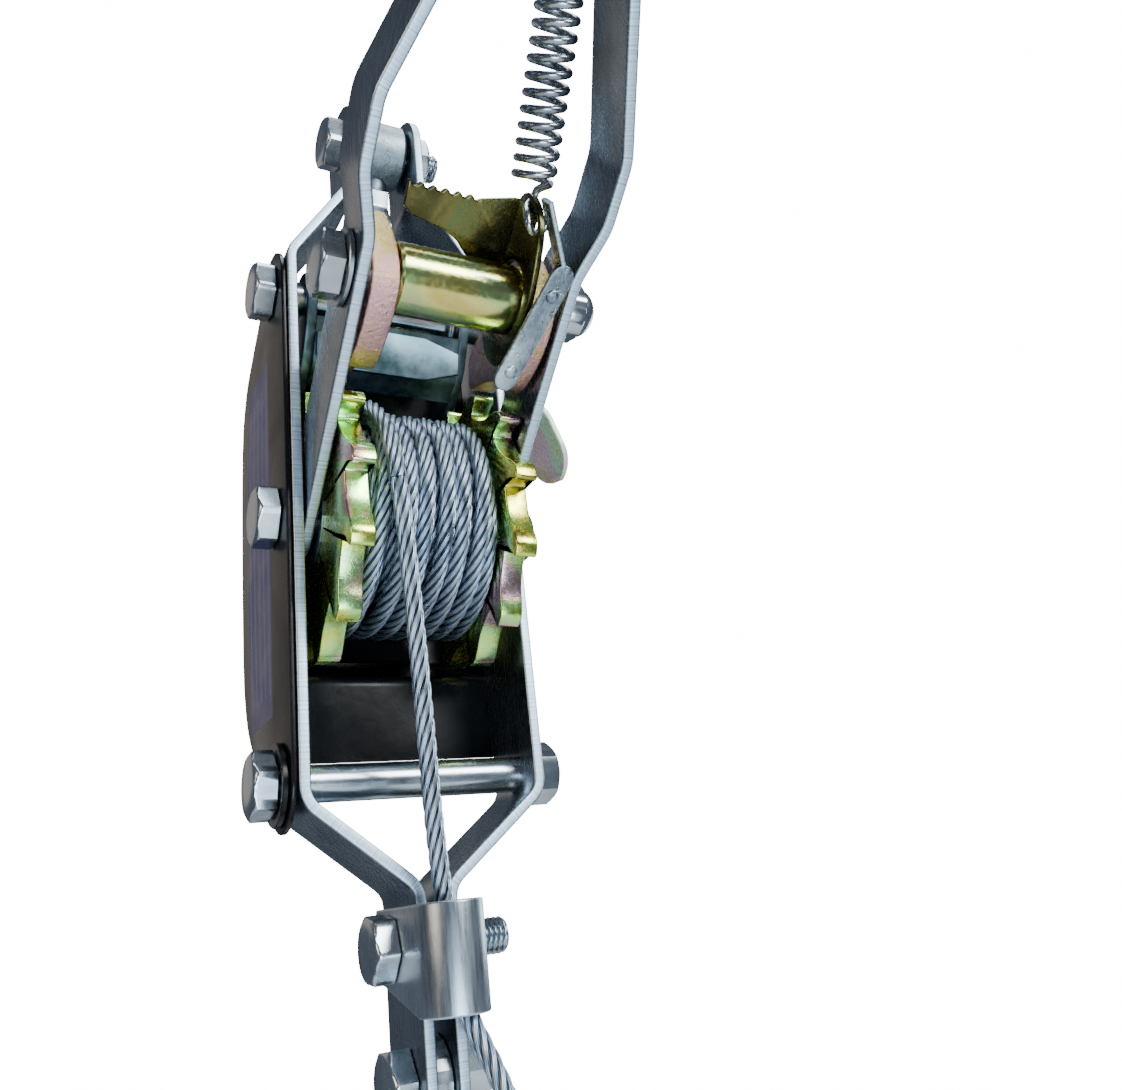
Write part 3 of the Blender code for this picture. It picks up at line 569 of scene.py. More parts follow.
PAWL_ZINC = YellowZinc(
    "pawl_zinc",
    stops=(
        (0.0, (0.40, 0.26, 0.08)), (0.3, (0.62, 0.46, 0.16)), (0.5, (0.70, 0.40, 0.34)),
        (0.8, (0.62, 0.32, 0.42)), (1.0, (0.44, 0.56, 0.22))
    ),
    smooth=0.24,
    coarse=0.44,
    depth=0.0003,
)
# painted light: yellow zinc made pale and bright for the release lever; its pink and green tints
# are the film's own
LIT_LEVER_ZINC = YellowZinc(
    "lit_lever_zinc",
    stops=(
        (0.0, (0.60, 0.46, 0.30)), (0.3, (0.82, 0.60, 0.52)), (0.5, (0.84, 0.56, 0.66)),
        (0.7, (0.60, 0.86, 0.60)), (1.0, (0.80, 0.78, 0.40))
    ),
    smooth=0.2,
    coarse=0.36,
    depth=0.00001,
    metal=0.15,
)
# painted shade: yellow zinc darkened to olive for the thumb plate, which sits in shadow
SHADED_YELLOW_ZINC = YellowZinc(
    "shaded_yellow_zinc",
    stops=(
        (0.0, (0.03, 0.03, 0.015)), (0.4, (0.07, 0.068, 0.026)), (0.7, (0.15, 0.14, 0.045)),
        (1.0, (0.11, 0.15, 0.06))
    ),
)
BLACK = GlossBlack("gloss_black")
ROPE = WireRopeSteel("rope_steel")
RUBBER = MouldedRubber("moulded_rubber")
LABEL = Label("plain_label")
CARD = PaleCard("pale_card")


# ---------------------------------------------------------------- surfaces

Array = np.ndarray


def make_mesh(
    name: str, points: Array, faces: Sequence[
        Sequence[int]
    ], finish: Finish, uv: Optional[Array] = None
) -> bpy.types.Object:
    """Puts points and faces into an object at the origin, with its faces turned outwards.

    Args:
        name: the piece's name.
        points: n by 3, millimetres in the world.
        faces: vertex numbers of each face.
        finish: what it is finished in.
        uv: n by 2 map of the points, if a pattern follows the surface.

    Returns:
        The object.
    """
    mesh = bpy.data.meshes.new(name)
    mesh.from_pydata(np.asarray(points) * MM, [], faces)
    if uv is not None:
        layer = mesh.uv_layers.new(name="UVMap")
        order = np.zeros(len(mesh.loops), np.int32)
        mesh.loops.foreach_get("vertex_index", order)
        layer.uv.foreach_set("vector", np.asarray(uv, np.float32)[order].ravel())
    bm = bmesh.new()
    bm.from_mesh(mesh)
    bmesh.ops.remove_doubles(bm, verts=bm.verts, dist=1e-7)
    bmesh.ops.recalc_face_normals(bm, faces=bm.faces)
    bm.to_mesh(mesh)
    bm.free()
    mesh.materials.append(finish.material())
    mesh.shade_smooth()
    mesh.set_sharp_from_angle(angle=math.radians(SMOOTH_DEG))
    made = bpy.data.objects.new(name, mesh)
    bpy.context.scene.collection.objects.link(made)
    return made


def quads(
    rows: int, columns: int, first: int = 0, around: bool = True, along: bool = False
) -> Array:
    """Vertex numbers of the faces of a grid of rows by columns.

    Args:
        rows: how many rings.
        columns: points in a ring.
        first: number of the grid's first point.
        around: whether each ring closes on itself.
        along: whether the last ring joins the first.

    Returns:
        An array of faces, four numbers each.
    """
    i = np.arange(rows if along else rows - 1)[:, None]
    j = np.arange(columns if around else columns - 1)[None, :]
    i2, j2 = (i + 1) % rows, (j + 1) % columns
    corners = [i * columns + j, i * columns + j2, i2 * columns + j2, i2 * columns + j]
    return np.stack(
        [np.broadcast_to(c, np.broadcast_shapes(i.shape, j.shape)) for c in corners], -1
    ).reshape(-1, 4) + first


def shell(
    name: str, rings: Array, finish: Finish, along: bool = False, uv: Optional[Array] = None
) -> bpy.types.Object:
    """A closed skin over rings of points, with its ends capped unless it closes on itself.

    Args:
        name: the piece's name.
        rings: rows by columns by 3.
        finish: what it is finished in.
        along: whether the last ring joins the first.
        uv: rows by columns by 2.

    Returns:
        The object.
    """
    rows, columns = rings.shape[:2]
    faces = quads(rows, columns, along=along).tolist()
    if not along:
        faces += [list(range(columns)), list(range((rows - 1) * columns, rows * columns))]
    flat = None if uv is None else uv.reshape(-1, 2)
    return make_mesh(name, rings.reshape(-1, 3), faces, finish, flat)


def in_yz(line: Array, rise: float = 0.0) -> Array:
    """A flat line set upright in the plane through the middle of the puller."""
    return np.stack([0 * line[:, 0], line[:, 0], line[:, 1] + rise], -1)


def frames(
    path: Array, reference: Sequence[float], closed: bool = False
) -> tuple[Array, Array, Array]:
    """Tangent, side and up at each point of a path: side is the reference's part across the
    tangent.

    Args:
        path: n by 3.
        reference: a direction that the path never follows.
        closed: whether the path joins its start.

    Returns:
        Three n by 3 arrays of unit vectors.
    """
    if closed:
        tangent = np.roll(path, -1, 0) - np.roll(path, 1, 0)
    else:
        tangent = np.gradient(path, axis=0)
    tangent /= np.linalg.norm(tangent, axis=1)[:, None]
    ref = np.broadcast_to(np.asarray(reference, float), path.shape)
    side = ref - (ref * tangent).sum(1)[:, None] * tangent
    side /= np.linalg.norm(side, axis=1)[:, None]
    return tangent, side, np.cross(tangent, side)


def carry(path: Array, profile: Array, reference: Sequence[float], closed: bool = False) -> Array:
    """Carries a flat profile along a path: point = path + a side + b up.

    Args:
        path: n by 3.
        profile: m by 2, or n by m by 2 where it changes on the way.
        reference: a direction that the path never follows.
        closed: whether the path joins its start.

    Returns:
        n by m by 3 rings.
    """
    _, side, up = frames(path, reference, closed)
    shape = np.broadcast_to(profile, (len(path), *np.asarray(profile).shape[-2:]))
    return path[:, None] + shape[..., :1] * side[:, None] + shape[..., 1:] * up[:, None]


def circle(count: int, radius: float = 1.0) -> Array:
    """Points evenly round a circle, count by 2."""
    angle = np.linspace(0, 2 * np.pi, count, endpoint=False)
    return radius * np.stack([np.cos(angle), np.sin(angle)], -1)


def distances(path: Array) -> Array:
    """Distance along a path at each of its points, from 0."""
    return np.r_[0, np.cumsum(np.linalg.norm(np.diff(path, axis=0), axis=1))]


def resample(points: Array, step: float) -> Array:
    """Points a fixed distance apart on a polyline.

    Args:
        points: the points.
        step: the distance between points.

    Returns:
        The points.
    """
    run = distances(points)
    at = np.linspace(0, run[-1], max(int(round(run[-1] / step)), 2) + 1)
    return np.stack([np.interp(at, run, points[:, k]) for k in range(points.shape[1])], -1)


def smooth_curve(points: Sequence[Sequence[float]], count: int) -> Array:
    """A Catmull-Rom curve: each span is the cubic that leaves a point along the line between its
    neighbours.

    Args:
        points: the curve's own points.
        count: how many points to read from it.

    Returns:
        count by 3.
    """
    own = np.asarray(points, float)
    padded = np.vstack([2 * own[0] - own[1], own, 2 * own[-1] - own[-2]])
    t = np.linspace(0, len(own) - 1, count)
    i = np.minimum(t.astype(int), len(own) - 2)
    f = (t - i)[:, None]
    a, b, c, d = (padded[i + k] for k in range(4))
    return 0.5 * (
        2 * b + (c - a) * f + (2 * a - 5 * b + 4 * c - d) * f**2 + (3 * b - a - 3 * c + d) * f**3
    )


def filleted(corners: Sequence[Sequence[float]], radius: float, step: float) -> Array:
    """A line through corners, each rounded by an arc that is tangent to both its sides.

    Args:
        corners: the corners, two numbers each.
        radius: of the arcs.
        step: distance between the points returned.

    Returns:
        n by 2.
    """
    own = np.asarray(corners, float)
    pieces = [own[:1]]
    for before, corner, after in zip(own, own[1:], own[2:]):
        into, out = before - corner, after - corner
        into, out = into / np.linalg.norm(into), out / np.linalg.norm(out)
        half = np.arccos(np.clip(into @ out, -1, 1)) / 2
        cut = min(
            radius / np.tan(half), np.linalg.norm(before - corner) / 2,
            np.linalg.norm(after - corner) / 2
        )
        r = cut * np.tan(half)
        centre = corner + (into + out) / np.linalg.norm(into + out) * (r / np.sin(half))
        t = np.linspace(0, 1, 13)[:, None]
        spoke = (corner + into * cut - centre) * (1 - t) + (corner + out * cut - centre) * t
        pieces.append(centre + spoke / np.linalg.norm(spoke, axis=1)[:, None] * r)
    pieces.append(own[-1:])
    return resample(np.vstack(pieces), step)


def rounded_section(
    half_a: Array, half_b: Array, radius: float, steps: int = 4
) -> tuple[Array, Array]:
    """A rounded rectangle for each pair of half sizes, and how far each of its points faces along
    the second axis.

    Args:
        half_a: n half widths along the first axis.
        half_b: n half widths along the second axis.
        radius: of the corners.
        steps: points on each corner, less one.

    Returns:
        n by m by 2 points, and m values from 0 to 1.
    """
    turn = np.linspace(0, np.pi / 2, steps + 1)
    angle = (turn[None] + np.arange(4)[:, None] * np.pi / 2).ravel()
    sign_a = np.repeat([1, -1, -1, 1], steps + 1)
    sign_b = np.repeat([1, 1, -1, -1], steps + 1)
    r = np.minimum(radius, np.minimum(half_a, half_b) * 0.98)[:, None]
    a = sign_a * (half_a[:, None] - r) + r * np.cos(angle)
    b = sign_b * (half_b[:, None] - r) + r * np.sin(angle)
    return np.stack([a, b], -1), np.abs(np.sin(angle)) ** 2


def offset_outline(outline: Array, distance: float) -> Array:
    """Moves a counterclockwise outline inwards by a distance, along the bisector at each corner.

    Args:
        outline: a closed outline, n by 2.
        distance: how far, in millimetres.

    Returns:
        The points.
    """
    before = outline - np.roll(outline, 1, 0)
    after = np.roll(outline, -1, 0) - outline
    before /= np.linalg.norm(before, axis=1)[:, None]
    after /= np.linalg.norm(after, axis=1)[:, None]
    normal = np.stack([-(before + after)[:, 1], (before + after)[:, 0]], -1)
    normal /= np.linalg.norm(normal, axis=1)[:, None]
    widen = 1 / np.clip((normal * np.stack([-before[:, 1], before[:, 0]], -1)).sum(1), 0.6, 1)
    return outline + normal * distance * widen[:, None]


def counterclockwise(outline: Array) -> Array:
    """The outline, turned round if it runs clockwise.

    Args:
        outline: a closed outline, n by 2.

    Returns:
        The points.
    """
    x, y = outline.T
    area = (x * np.roll(y, -1) - np.roll(x, -1) * y).sum()
    return outline if area > 0 else outline[::-1]


class Axis(Enum):
    """The axis of a push or a turning: where X, Y and Z stand in (across, across, along)."""

    X = (2, 0, 1)
    Y = (0, 2, 1)
    Z = (0, 1, 2)


def plate(
    name: str,
    outline: Array,
    low: float,
    high: float,
    finish: Finish,
    axis: Axis = Axis.X,
    edge: float = 0.5,
    holes: Sequence[Array] = (),
    shape: Optional[Callable[[Array], Array]] = None,
) -> bpy.types.Object:
    """A flat outline pushed along an axis, with quarter-round edges: at angle t round an edge of
    radius r the outline has moved in by r (1 - sin t) and along by r (1 - cos t).

    Args:
        name: the piece's name.
        outline: n by 2, its two numbers along the other two axes in X, Y, Z order.
        low: where it starts.
        high: where it ends.
        finish: what it is finished in.
        axis: the axis it is pushed along.
        edge: radius of its edges.
        holes: outlines cut right through.
        shape: a last change to its points, such as a turn into place.

    Returns:
        The object.
    """
    turn = np.linspace(0, np.pi / 2, 4)
    inset = edge * (1 - np.sin(turn))
    drop = edge * (1 - np.cos(turn))
    stations = np.r_[low + drop, (high - drop)[::-1]]
    insets = np.r_[inset, inset[::-1]]
    loops = [counterclockwise(np.asarray(outline, float))] + [
        counterclockwise(np.asarray(h, float))[::-1] for h in holes
    ]
    points, faces, first, caps = [], [], 0, []
    for loop in loops:
        grid = np.stack(
            [
                np.c_[offset_outline(loop, i), np.full(len(loop), s)] for i,
                s in zip(insets, stations)
            ]
        )
        points.append(grid.reshape(-1, 3))
        faces += quads(len(stations), len(loop), first).tolist()
        caps.append((first, grid))
        first += grid.shape[0] * grid.shape[1]
    for end in (0, -1):
        rings = [[Vector((*p[:2], 0)) for p in grid[end]] for _, grid in caps]
        lookup = np.concatenate(
            [
                start + np.arange(grid.shape[1]) + (
                    0 if end == 0 else (len(stations) - 1) * grid.shape[1]
                ) for start,
                grid in caps
            ]
        )
        faces += [[int(lookup[k]) for k in tri] for tri in tessellate_polygon(rings)]
    flat = np.vstack(points)
    placed = flat[:, list(axis.value)]
    return make_mesh(name, shape(placed) if shape else placed, faces, finish)


def turned_rings(
    stations: Array, radii: Array, centre: Sequence[float], axis: Axis = Axis.X, around: int = ROUND
) -> Array:
    """Rings for a turned piece: at station s and angle t the surface is at radius r(s, t) from the
    centre line.

    Args:
        stations: n places along the axis.
        radii: n by m, or n where each ring is a plain circle.
        centre: the centre line's two other coordinates.
        axis: the centre line's axis.
        around: points in a plain circle.

    Returns:
        n by m by 3.
    """
    radii = np.asarray(radii, float)
    if radii.ndim == 1:
        radii = np.repeat(radii[:, None], around, 1)
    angle = np.linspace(0, 2 * np.pi, radii.shape[1], endpoint=False)
    a = centre[0] + radii * np.cos(angle)
    b = centre[1] + radii * np.sin(angle)
    s = np.broadcast_to(np.asarray(stations, float)[:, None], radii.shape)
    return np.stack([a, b, s], -1)[..., list(axis.value)]


def about_x(points: Array, degrees: float, centre: Sequence[float]) -> Array:
    """Turns points about an axis along X through a centre, by the right-hand rule.

    Args:
        points: the points.
        degrees: the angle.
        centre: the centre.

    Returns:
        The points.
    """
    t = math.radians(degrees)
    rel = points - np.asarray(centre, float)
    y = rel[..., 1] * math.cos(t) - rel[..., 2] * math.sin(t)
    z = rel[..., 1] * math.sin(t) + rel[..., 2] * math.cos(t)
    return np.stack([rel[..., 0], y, z], -1) + np.asarray(centre, float)


def place(piece: bpy.types.Object, body: str, slot: str, *nodes: str) -> bpy.types.Object:
    """Sets a piece on its body and hides the nodes it stands for.

    Args:
        piece: the piece.
        body: the body it rides on.
        slot: not used.
        nodes: the nodes it stands for.

    Returns:
        The piece.
    """
    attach(piece, body)
    if nodes:
        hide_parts(*nodes)
    LOG.info("%s rides on %s", piece.name, body)
    return piece


def dress_node(node: str, finish: Finish) -> None:
    """Gives a frame solid a finish of its own.

    Args:
        node: the node's name.
        finish: what it is finished in.
    """
    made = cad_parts[node]
    made.data.materials.clear()
    made.data.materials.append(finish.material())
    LOG.info("%s dressed in %s", node, finish.name)


# ---------------------------------------------------------------- fasteners


def hexagon(turn_deg: float, flats: float = FLATS) -> Array:
    """Distance to a hexagon's side: half the flats over the cosine of the angle from that side's
    middle.

    Args:
        turn_deg: how far it is turned about its axis.
        flats: the size across its flats.

    Returns:
        The radius at each angle.
    """
    angle = np.linspace(0, 2 * np.pi, ROUND, endpoint=False) + math.radians(turn_deg)
    sector = np.pi / 3
    return flats / 2 / np.cos((angle + sector / 2) % sector - sector / 2)


@dataclass
class Fastener:
    """A hex bolt along X with a chamfered head and a cut thread."""

    name: str
    bearing: float  # where the head's bearing face is
    tip: float
    centre: tuple[float, float]
    thread: float = 14.0  # threaded length from the tip
    radius: float = 6.0
    pitch: float = 1.75
    turn_deg: float = 0.0

    def build(self) -> bpy.types.Object:
        """The head is the smaller of the hexagon and a cone, and the thread a triangle wave that
        climbs with the angle.

        Returns:
            The object.
        """
        out = math.copysign(1.0, self.bearing - self.tip)
        depth = np.array([0.0, 0.0, 0.15, 0.4, 0.8, 1.2, 1.6, 2.2, HEAD - 0.4, HEAD])
        cone = FLATS * 0.465 + depth * CHAMFER
        cone[0] = FLATS * 0.2
        head = np.minimum(hexagon(self.turn_deg)[None], cone[:, None])
        head[-1] -= 0.35
        head_at = self.bearing + out * (HEAD - depth)
        shank_end = self.tip + out * self.thread
        share = np.linspace(0, 1, ROUND, endpoint=False)
        thread_at = np.arange(0, self.thread, self.pitch / 6)[::-1]
        wave = np.abs(((thread_at[:, None] / self.pitch + share * out) % 1.0) * 2 - 1)
        cut = np.minimum(thread_at / 1.2, 1)[:, None]
        thread = self.radius - 0.12 - 0.85 * wave
        thread = np.minimum(thread, self.radius - 1.1 + cut * 1.2)
        plain = np.full((2, ROUND), self.radius)
        radii = np.vstack([head, plain, thread])
        stations = np.r_[head_at, self.bearing, shank_end, self.tip + out * thread_at]
        return shell(self.name, turned_rings(stations, radii, self.centre), BOLT_ZINC)


@dataclass
class HexNut:
    """A hex nut along X, chamfered on both faces."""

    name: str
    near: float
    far: float
    centre: tuple[float, float]
    bore: float = 6.15
    turn_deg: float = 0.0

    def build(self) -> bpy.types.Object:
        """A closed ring: bore, chamfer, flats, chamfer.

        Returns:
            The object.
        """
        depth = np.array([0.0, 0.25, 0.6, 1.1, 1.7])
        width = abs(self.far - self.near)
        out = math.copysign(1.0, self.far - self.near)
        cone = FLATS * 0.465 + depth * CHAMFER
        face = np.minimum(hexagon(self.turn_deg)[None], cone[:, None])
        bore = np.full((1, ROUND), self.bore)
        mouth = bore + 0.8
        radii = np.vstack([bore, mouth, face, face[::-1], mouth, bore])
        at = np.r_[0.8, 0.0, depth, (width - depth)[::-1], width, width - 0.8]
        return shell(
            self.name, turned_rings(self.near + out * at, radii, self.centre), BOLT_ZINC, along=True
        )


def ring_washer(
    name: str, near: float, far: float, outer: float, centre: Sequence[float], finish: Finish
) -> bpy.types.Object:
    """A flat ring along X with soft edges.

    Args:
        name: the piece's name.
        near: its near face along X.
        far: its far face along X.
        outer: its outer radius.
        centre: the centre.
        finish: what it is finished in.

    Returns:
        The object.
    """
    low, high = sorted((near, far))
    soft = 0.3
    at = np.array([low, low, low + soft, high - soft, high, high])
    r = np.array([BOLT_HOLE, outer - soft, outer, outer, outer - soft, BOLT_HOLE])
    return shell(name, turned_rings(at, r, centre), finish, along=True)


def fit_bolt(
    node: str, body: str, turn_deg: float, thread: float = 14.0, centre: Optional[
        Sequence[float]
    ] = None
) -> None:
    """A bolt to the measure of its node's box, set on its body.

    Args:
        node: the node's name.
        body: the body it rides on.
        turn_deg: how far it is turned about its axis.
        thread: the threaded length.
        centre: the centre.
    """
    low, high = reach(node)
    spot = middle(node)[1:] if centre is None else centre
    bolt = Fastener(f"{node}_hex", low[0] + HEAD, high[0], tuple(spot), thread, turn_deg=turn_deg)
    place(bolt.build(), body, "zinc_fastener", node)


def fit_nut(node: str, body: str, turn_deg: float) -> None:
    """A nut to the measure of its node's box, set on its body.

    Args:
        node: the node's name.
        body: the body it rides on.
        turn_deg: how far it is turned about its axis.
    """
    low, high = reach(node)
    nut = HexNut(f"{node}_hex", low[0], high[0], tuple(middle(node)[1:]), turn_deg=turn_deg)
    place(nut.build(), body, "zinc_fastener", node)


# ---------------------------------------------------------------- studio


@dataclass
class Studio:
    """Camera, light and floor."""

    stand: tuple[float, float, float] = (-119.3, -322.0, -133.0)  # from the drum axle
    turn_deg: tuple[float, float, float] = (109.53, 6.30, -27.80)
    lens: float = 32.5
    white: float = 16.0  # what the camera sees past the object
    room: tuple[float, float, float, float] = (0.10, 0.12, 0.15, 1.0)
    floor_drop: float = 420.0
    floor_half: float = 1000.0

    def build(self) -> None:
        """Makes the camera, then the lights, then the floor."""
        self.camera()
        self.world()
        for name, place_m, size, power, colour in (
            ("key", (0.75, -1.5, 0.85), 0.8, 44.0, (0.95, 1.0, 1.0)),
            ("low_front", (-0.15, -1.5, -0.75), 0.8, 22.0, (0.72, 0.88, 1.0)),
            ("left", (-1.7, -0.5, 0.4), 0.8, 11.0, (1.0, 0.80, 0.60)),
            ("top", (0.1, -0.2, 1.6), 0.9, 18.0, (0.88, 0.96, 1.0)),
            ("back_left", (-0.62, 1.5, 0.62), 1.2, 1.7, (1.0, 0.84, 0.68)),
            ("back_right", (1.5, 0.7, 0.2), 0.8, 9.0, (0.80, 0.90, 1.0)),
        ):
            self.light(name, place_m, size, power, colour)
        self.floor()

    def camera(self) -> None:
        """A camera that looks up at the drum from the lower left."""
        made = bpy.data.objects.new("camera", bpy.data.cameras.new("camera"))
        made.data.lens = self.lens
        made.data.sensor_width = 36.0
        made.data.clip_start = 0.01
        made.location = Vector((AXLE + np.array(self.stand)) * MM)
        made.rotation_euler = [math.radians(a) for a in self.turn_deg]
        bpy.context.scene.collection.objects.link(made)
        bpy.context.scene.camera = made

    def world(self) -> None:
        """White where the camera looks past the object, and a dim even room for everything else."""
        world = bpy.data.worlds.new("room")
        world.use_nodes = True
        graph = Graph(world.node_tree)
        back = world.node_tree.nodes["Background"]
        sight = graph.add("ShaderNodeLightPath").outputs["Is Camera Ray"]
        bright = (self.white, self.white, self.white, 1.0)
        mix = graph.add("ShaderNodeMix", {0: sight, 6: self.room, 7: bright}, data_type="RGBA")
        world.node_tree.links.new(mix.outputs[2], back.inputs["Color"])
        bpy.context.scene.world = world

    def light(
        self, name: str, at: tuple[float, float, float], size: float, power: float, colour: Colour
    ) -> None:
        """A soft square light that faces the drum.

        Args:
            name: the light's name.
            at: where, in metres from the drum.
            size: the side of the square in metres.
            power: the power in watts.
            colour: the colour.
        """
        made = bpy.data.objects.new(name, bpy.data.lights.new(name, "AREA"))
        made.data.size = size
        made.data.energy = power
        made.data.color = colour
        target = Vector(AXLE * MM)
        made.location = target + Vector(at)
        made.rotation_euler = (target - made.location).to_track_quat("-Z", "Y").to_euler()
        bpy.context.scene.collection.objects.link(made)

    def floor(self) -> None:
        """A pale floor, low enough for the block to run down to the end of its travel above it."""
        low = CAD_BOX[0][2] / MM - self.floor_drop
        corners = np.array(
            [[-1, -1, 0], [1, -1, 0], [1, 1, 0], [-1, 1, 0]]
        ) * self.floor_half + [0, 0, low]
        made = make_mesh("floor", corners, [[0, 1, 2, 3]], CARD)


# ---------------------------------------------------------------- rope


@dataclass
class WireRope:
    """Six strands laid round a core: seen end on, six circles of a third of the rope's radius."""

    radius: float = 3.0
    lay: float = 34.0
    per_strand: int = 8

    def section(self) -> Array:
        """Radius over one whole turn. Within a strand, at angle d from its middle, the outline is
        at b cos d + sqrt(a^2 - b^2 sin^2 d), with a a third of the rope's radius and b twice that.

        Returns:
            The radius at each angle.
        """
        share = (np.arange(self.per_strand) + 0.5) / self.per_strand - 0.5
        d = share * np.pi / 3
        a, b = self.radius / 3, self.radius * 2 / 3
        one = b * np.cos(d) + np.sqrt(np.maximum(a * a - (b * np.sin(d)) ** 2, 0))
        return np.tile(one, 6)

    def skin(
        self, path: Array, reference: Sequence[float], first: float = 0.0
    ) -> tuple[Array, Array]:
        """Carries the section along a path while it turns once in each lay.

        Args:
            path: n by 3.
            reference: a direction the path never follows.
            first: distance along the whole rope at which the path starts.

        Returns:
            Rings and their map: U in lays and V in strands.
        """
        run = first + distances(path)
        r = self.section()
        count = len(r)
        share = (np.arange(count) + 0.5) / count
        angle = 2 * np.pi * (share[None] + run[:, None] / self.lay)
        profile = np.stack([r * np.cos(angle), r * np.sin(angle)], -1)
        rings = carry(path, profile, reference)
        uv = np.stack(np.broadcast_arrays(run[:, None] / self.lay, share[None] * 6), -1)
        return rings, uv


def rope_mesh(
    name: str, rope: WireRope, path: Array, reference: Sequence[float], first: float = 0.0
) -> bpy.types.Object:
    """A rope piece. Its map has a seam, so the first column is repeated and then merged with its
    twin.

    Args:
        name: the piece's name.
        rope: the rope.
        path: n by 3.
        reference: a direction the path never follows.
        first: distance along the whole rope at which the path starts.

    Returns:
        The object.
    """
    rings, uv = rope.skin(path, reference, first)
    rows, columns = rings.shape[:2]
    rings = np.concatenate([rings, rings[:, :1]], 1)
    uv = np.concatenate([uv, uv[:, :1] + (0.0, 6.0)], 1)
    faces = quads(rows, columns + 1, around=False).tolist()
    faces += [
        list(range(columns)), list(range((rows - 1) * (columns + 1), rows * (columns + 1) - 1))
    ]
    return make_mesh(name, rings.reshape(-1, 3), faces, ROPE, uv.reshape(-1, 2))


@dataclass
class Rigging:
    """The free rope, the eye that it ends in, and the ferrule that closes the eye."""

    rope: WireRope = field(default_factory=WireRope)
    sheave_pitch: float = 22.0

    def route(self) -> Array:
        """The free rope's own points: off the drum, through the saddle, round the sheave, up to the
        ferrule.

        Returns:
            The points.
        """
        sheave = middle("sheave") - AXLE
        points = [
            (-13.6, -41, 0), (-12.4, -40.4, -12), (-9.6, -36.8, -40), (-6.4, -31.5, -75),
            (-3.6, -27, -108)
        ]
        points += [
            (-1, -24.5, -130), (0.6, -24.5, -146), (3, -27, -160), (7, -33, -174), (10.5, -40, -190)
        ]
        points += [(11.5, -45, -207), (10, -46.5, -225), (6, -44, -246), (2, -39.5, -266)]
        turn = np.radians(np.arange(0, 181, 30))
        bottom = np.stack(
            [
                0 * turn, sheave[1] - self.sheave_pitch * np.cos(turn),
                sheave[2] - self.sheave_pitch * np.sin(turn)
            ],
            -1
        )
        points += bottom.tolist()
        points += [(0, 6, -268), (0, 2.5, -250), (0, 0.5, -236), (0, 0, -227.4)]
        return np.array(points, float) + AXLE

    def build(self) -> None:
        line = smooth_curve(self.route(), 420)
        path = resample(line, 1.5)
        run = rope_mesh("rope_run_strands", self.rope, path, (1, 0, 0))
        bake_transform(run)
        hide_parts("rope_run")
        dress_node("rope_eye", ROPE_EYE)
        dress_node("rope_ferrule", ALLOY)


# ---------------------------------------------------------------- bars and sheets


def bar_map(path: Array, faces_out: Array) -> Array:
    """A bar's map: U in metres along it, and V 1 on its sheared edges."""
    return np.stack(np.broadcast_arrays(distances(path)[:, None] * MM, 1 - faces_out[None]), -1)


def bar(
    name: str,
    line: Array,
    depth: Array,
    thickness: float,
    finish: Finish,
    edge: float = 0.7,
    shape: Optional[Callable[[Array], Array]] = None,
) -> bpy.types.Object:
    """A flat bar that follows a line in the XZ plane: a rounded rectangle is carried along it, as
    deep in Y as given.

    Args:
        name: the piece's name.
        line: n by 2, the middle of the bar in X and Z.
        depth: n half depths in Y.
        thickness: of the bar.
        finish: what it is finished in.
        edge: radius of its long edges.
        shape: a last change to its points.

    Returns:
        The object.
    """
    path = np.stack([line[:, 0], 0 * line[:, 0], line[:, 1]], -1)
    section, faces_out = rounded_section(depth, np.full(len(path), thickness / 2), edge)
    rings = carry(path, section, (0, 1, 0))
    return shell(name, shape(rings) if shape else rings, finish, uv=bar_map(path, faces_out))


def round_ends(line: Array, half: float) -> Array:
    """Half depth along a bar whose ends are half discs: sqrt(R^2 - (R - d)^2) at a distance d from
    an end.

    Args:
        line: n by 2.
        half: the half depth.

    Returns:
        Half the depth at each point.
    """
    run = distances(line)
    near = np.clip(np.minimum(run, run[-1] - run) + 0.05, 0, half)
    return np.sqrt(half**2 - (half - near) ** 2)


def soften(outline: Sequence[Sequence[float]], rounds: int = 2) -> Array:
    """Cuts each corner of a closed outline at a quarter and three quarters of its sides, several
    times.

    Args:
        outline: a closed outline, n by 2.
        rounds: how many times.

    Returns:
        The points.
    """
    points = np.asarray(outline, float)
    for _ in range(rounds):
        after = np.roll(points, -1, 0)
        points = np.stack(
            [0.75 * points + 0.25 * after, 0.25 * points + 0.75 * after], 1
        ).reshape(-1, 2)
    return points


def arc(centre: Sequence[float], radius: float, start: float, end: float, count: int = 24) -> Array:
    """Points on an arc between two angles in degrees."""
    angle = np.radians(np.linspace(start, end, count))
    return np.stack([centre[0] + radius * np.cos(angle), centre[1] + radius * np.sin(angle)], -1)


def polar(angle_deg: Sequence[float], radius: Sequence[float]) -> Array:
    """Points round the axle in Y and Z, with angles from the front towards the top.

    Args:
        angle_deg: the angles in degrees.
        radius: the radius in millimetres.

    Returns:
        The points.
    """
    angle = np.radians(np.asarray(angle_deg, float))
    r = np.asarray(radius, float)
    return np.stack([-r * np.cos(angle), r * np.sin(angle)], -1)


def pawl_nose(face_deg: float, sweep: float) -> Array:
    """A pawl's nose between two teeth: its front runs just ahead of a tooth's face, and leans back
    by a sweep in degrees for each millimetre towards the axle.

    Args:
        face_deg: the tooth's face.
        sweep: degrees for each millimetre.

    Returns:
        n by 2, in Y and Z from the axle.
    """
    full, gap = 50.8, 2.5
    r = np.array([49.0, 45.8, 44.0, 47.4, full, 54.0])
    lead = face_deg - gap - sweep * (full - r)
    return polar(np.r_[lead[2] - 5.5, lead[2] - 3, lead[2:5], face_deg - 3.1], r)


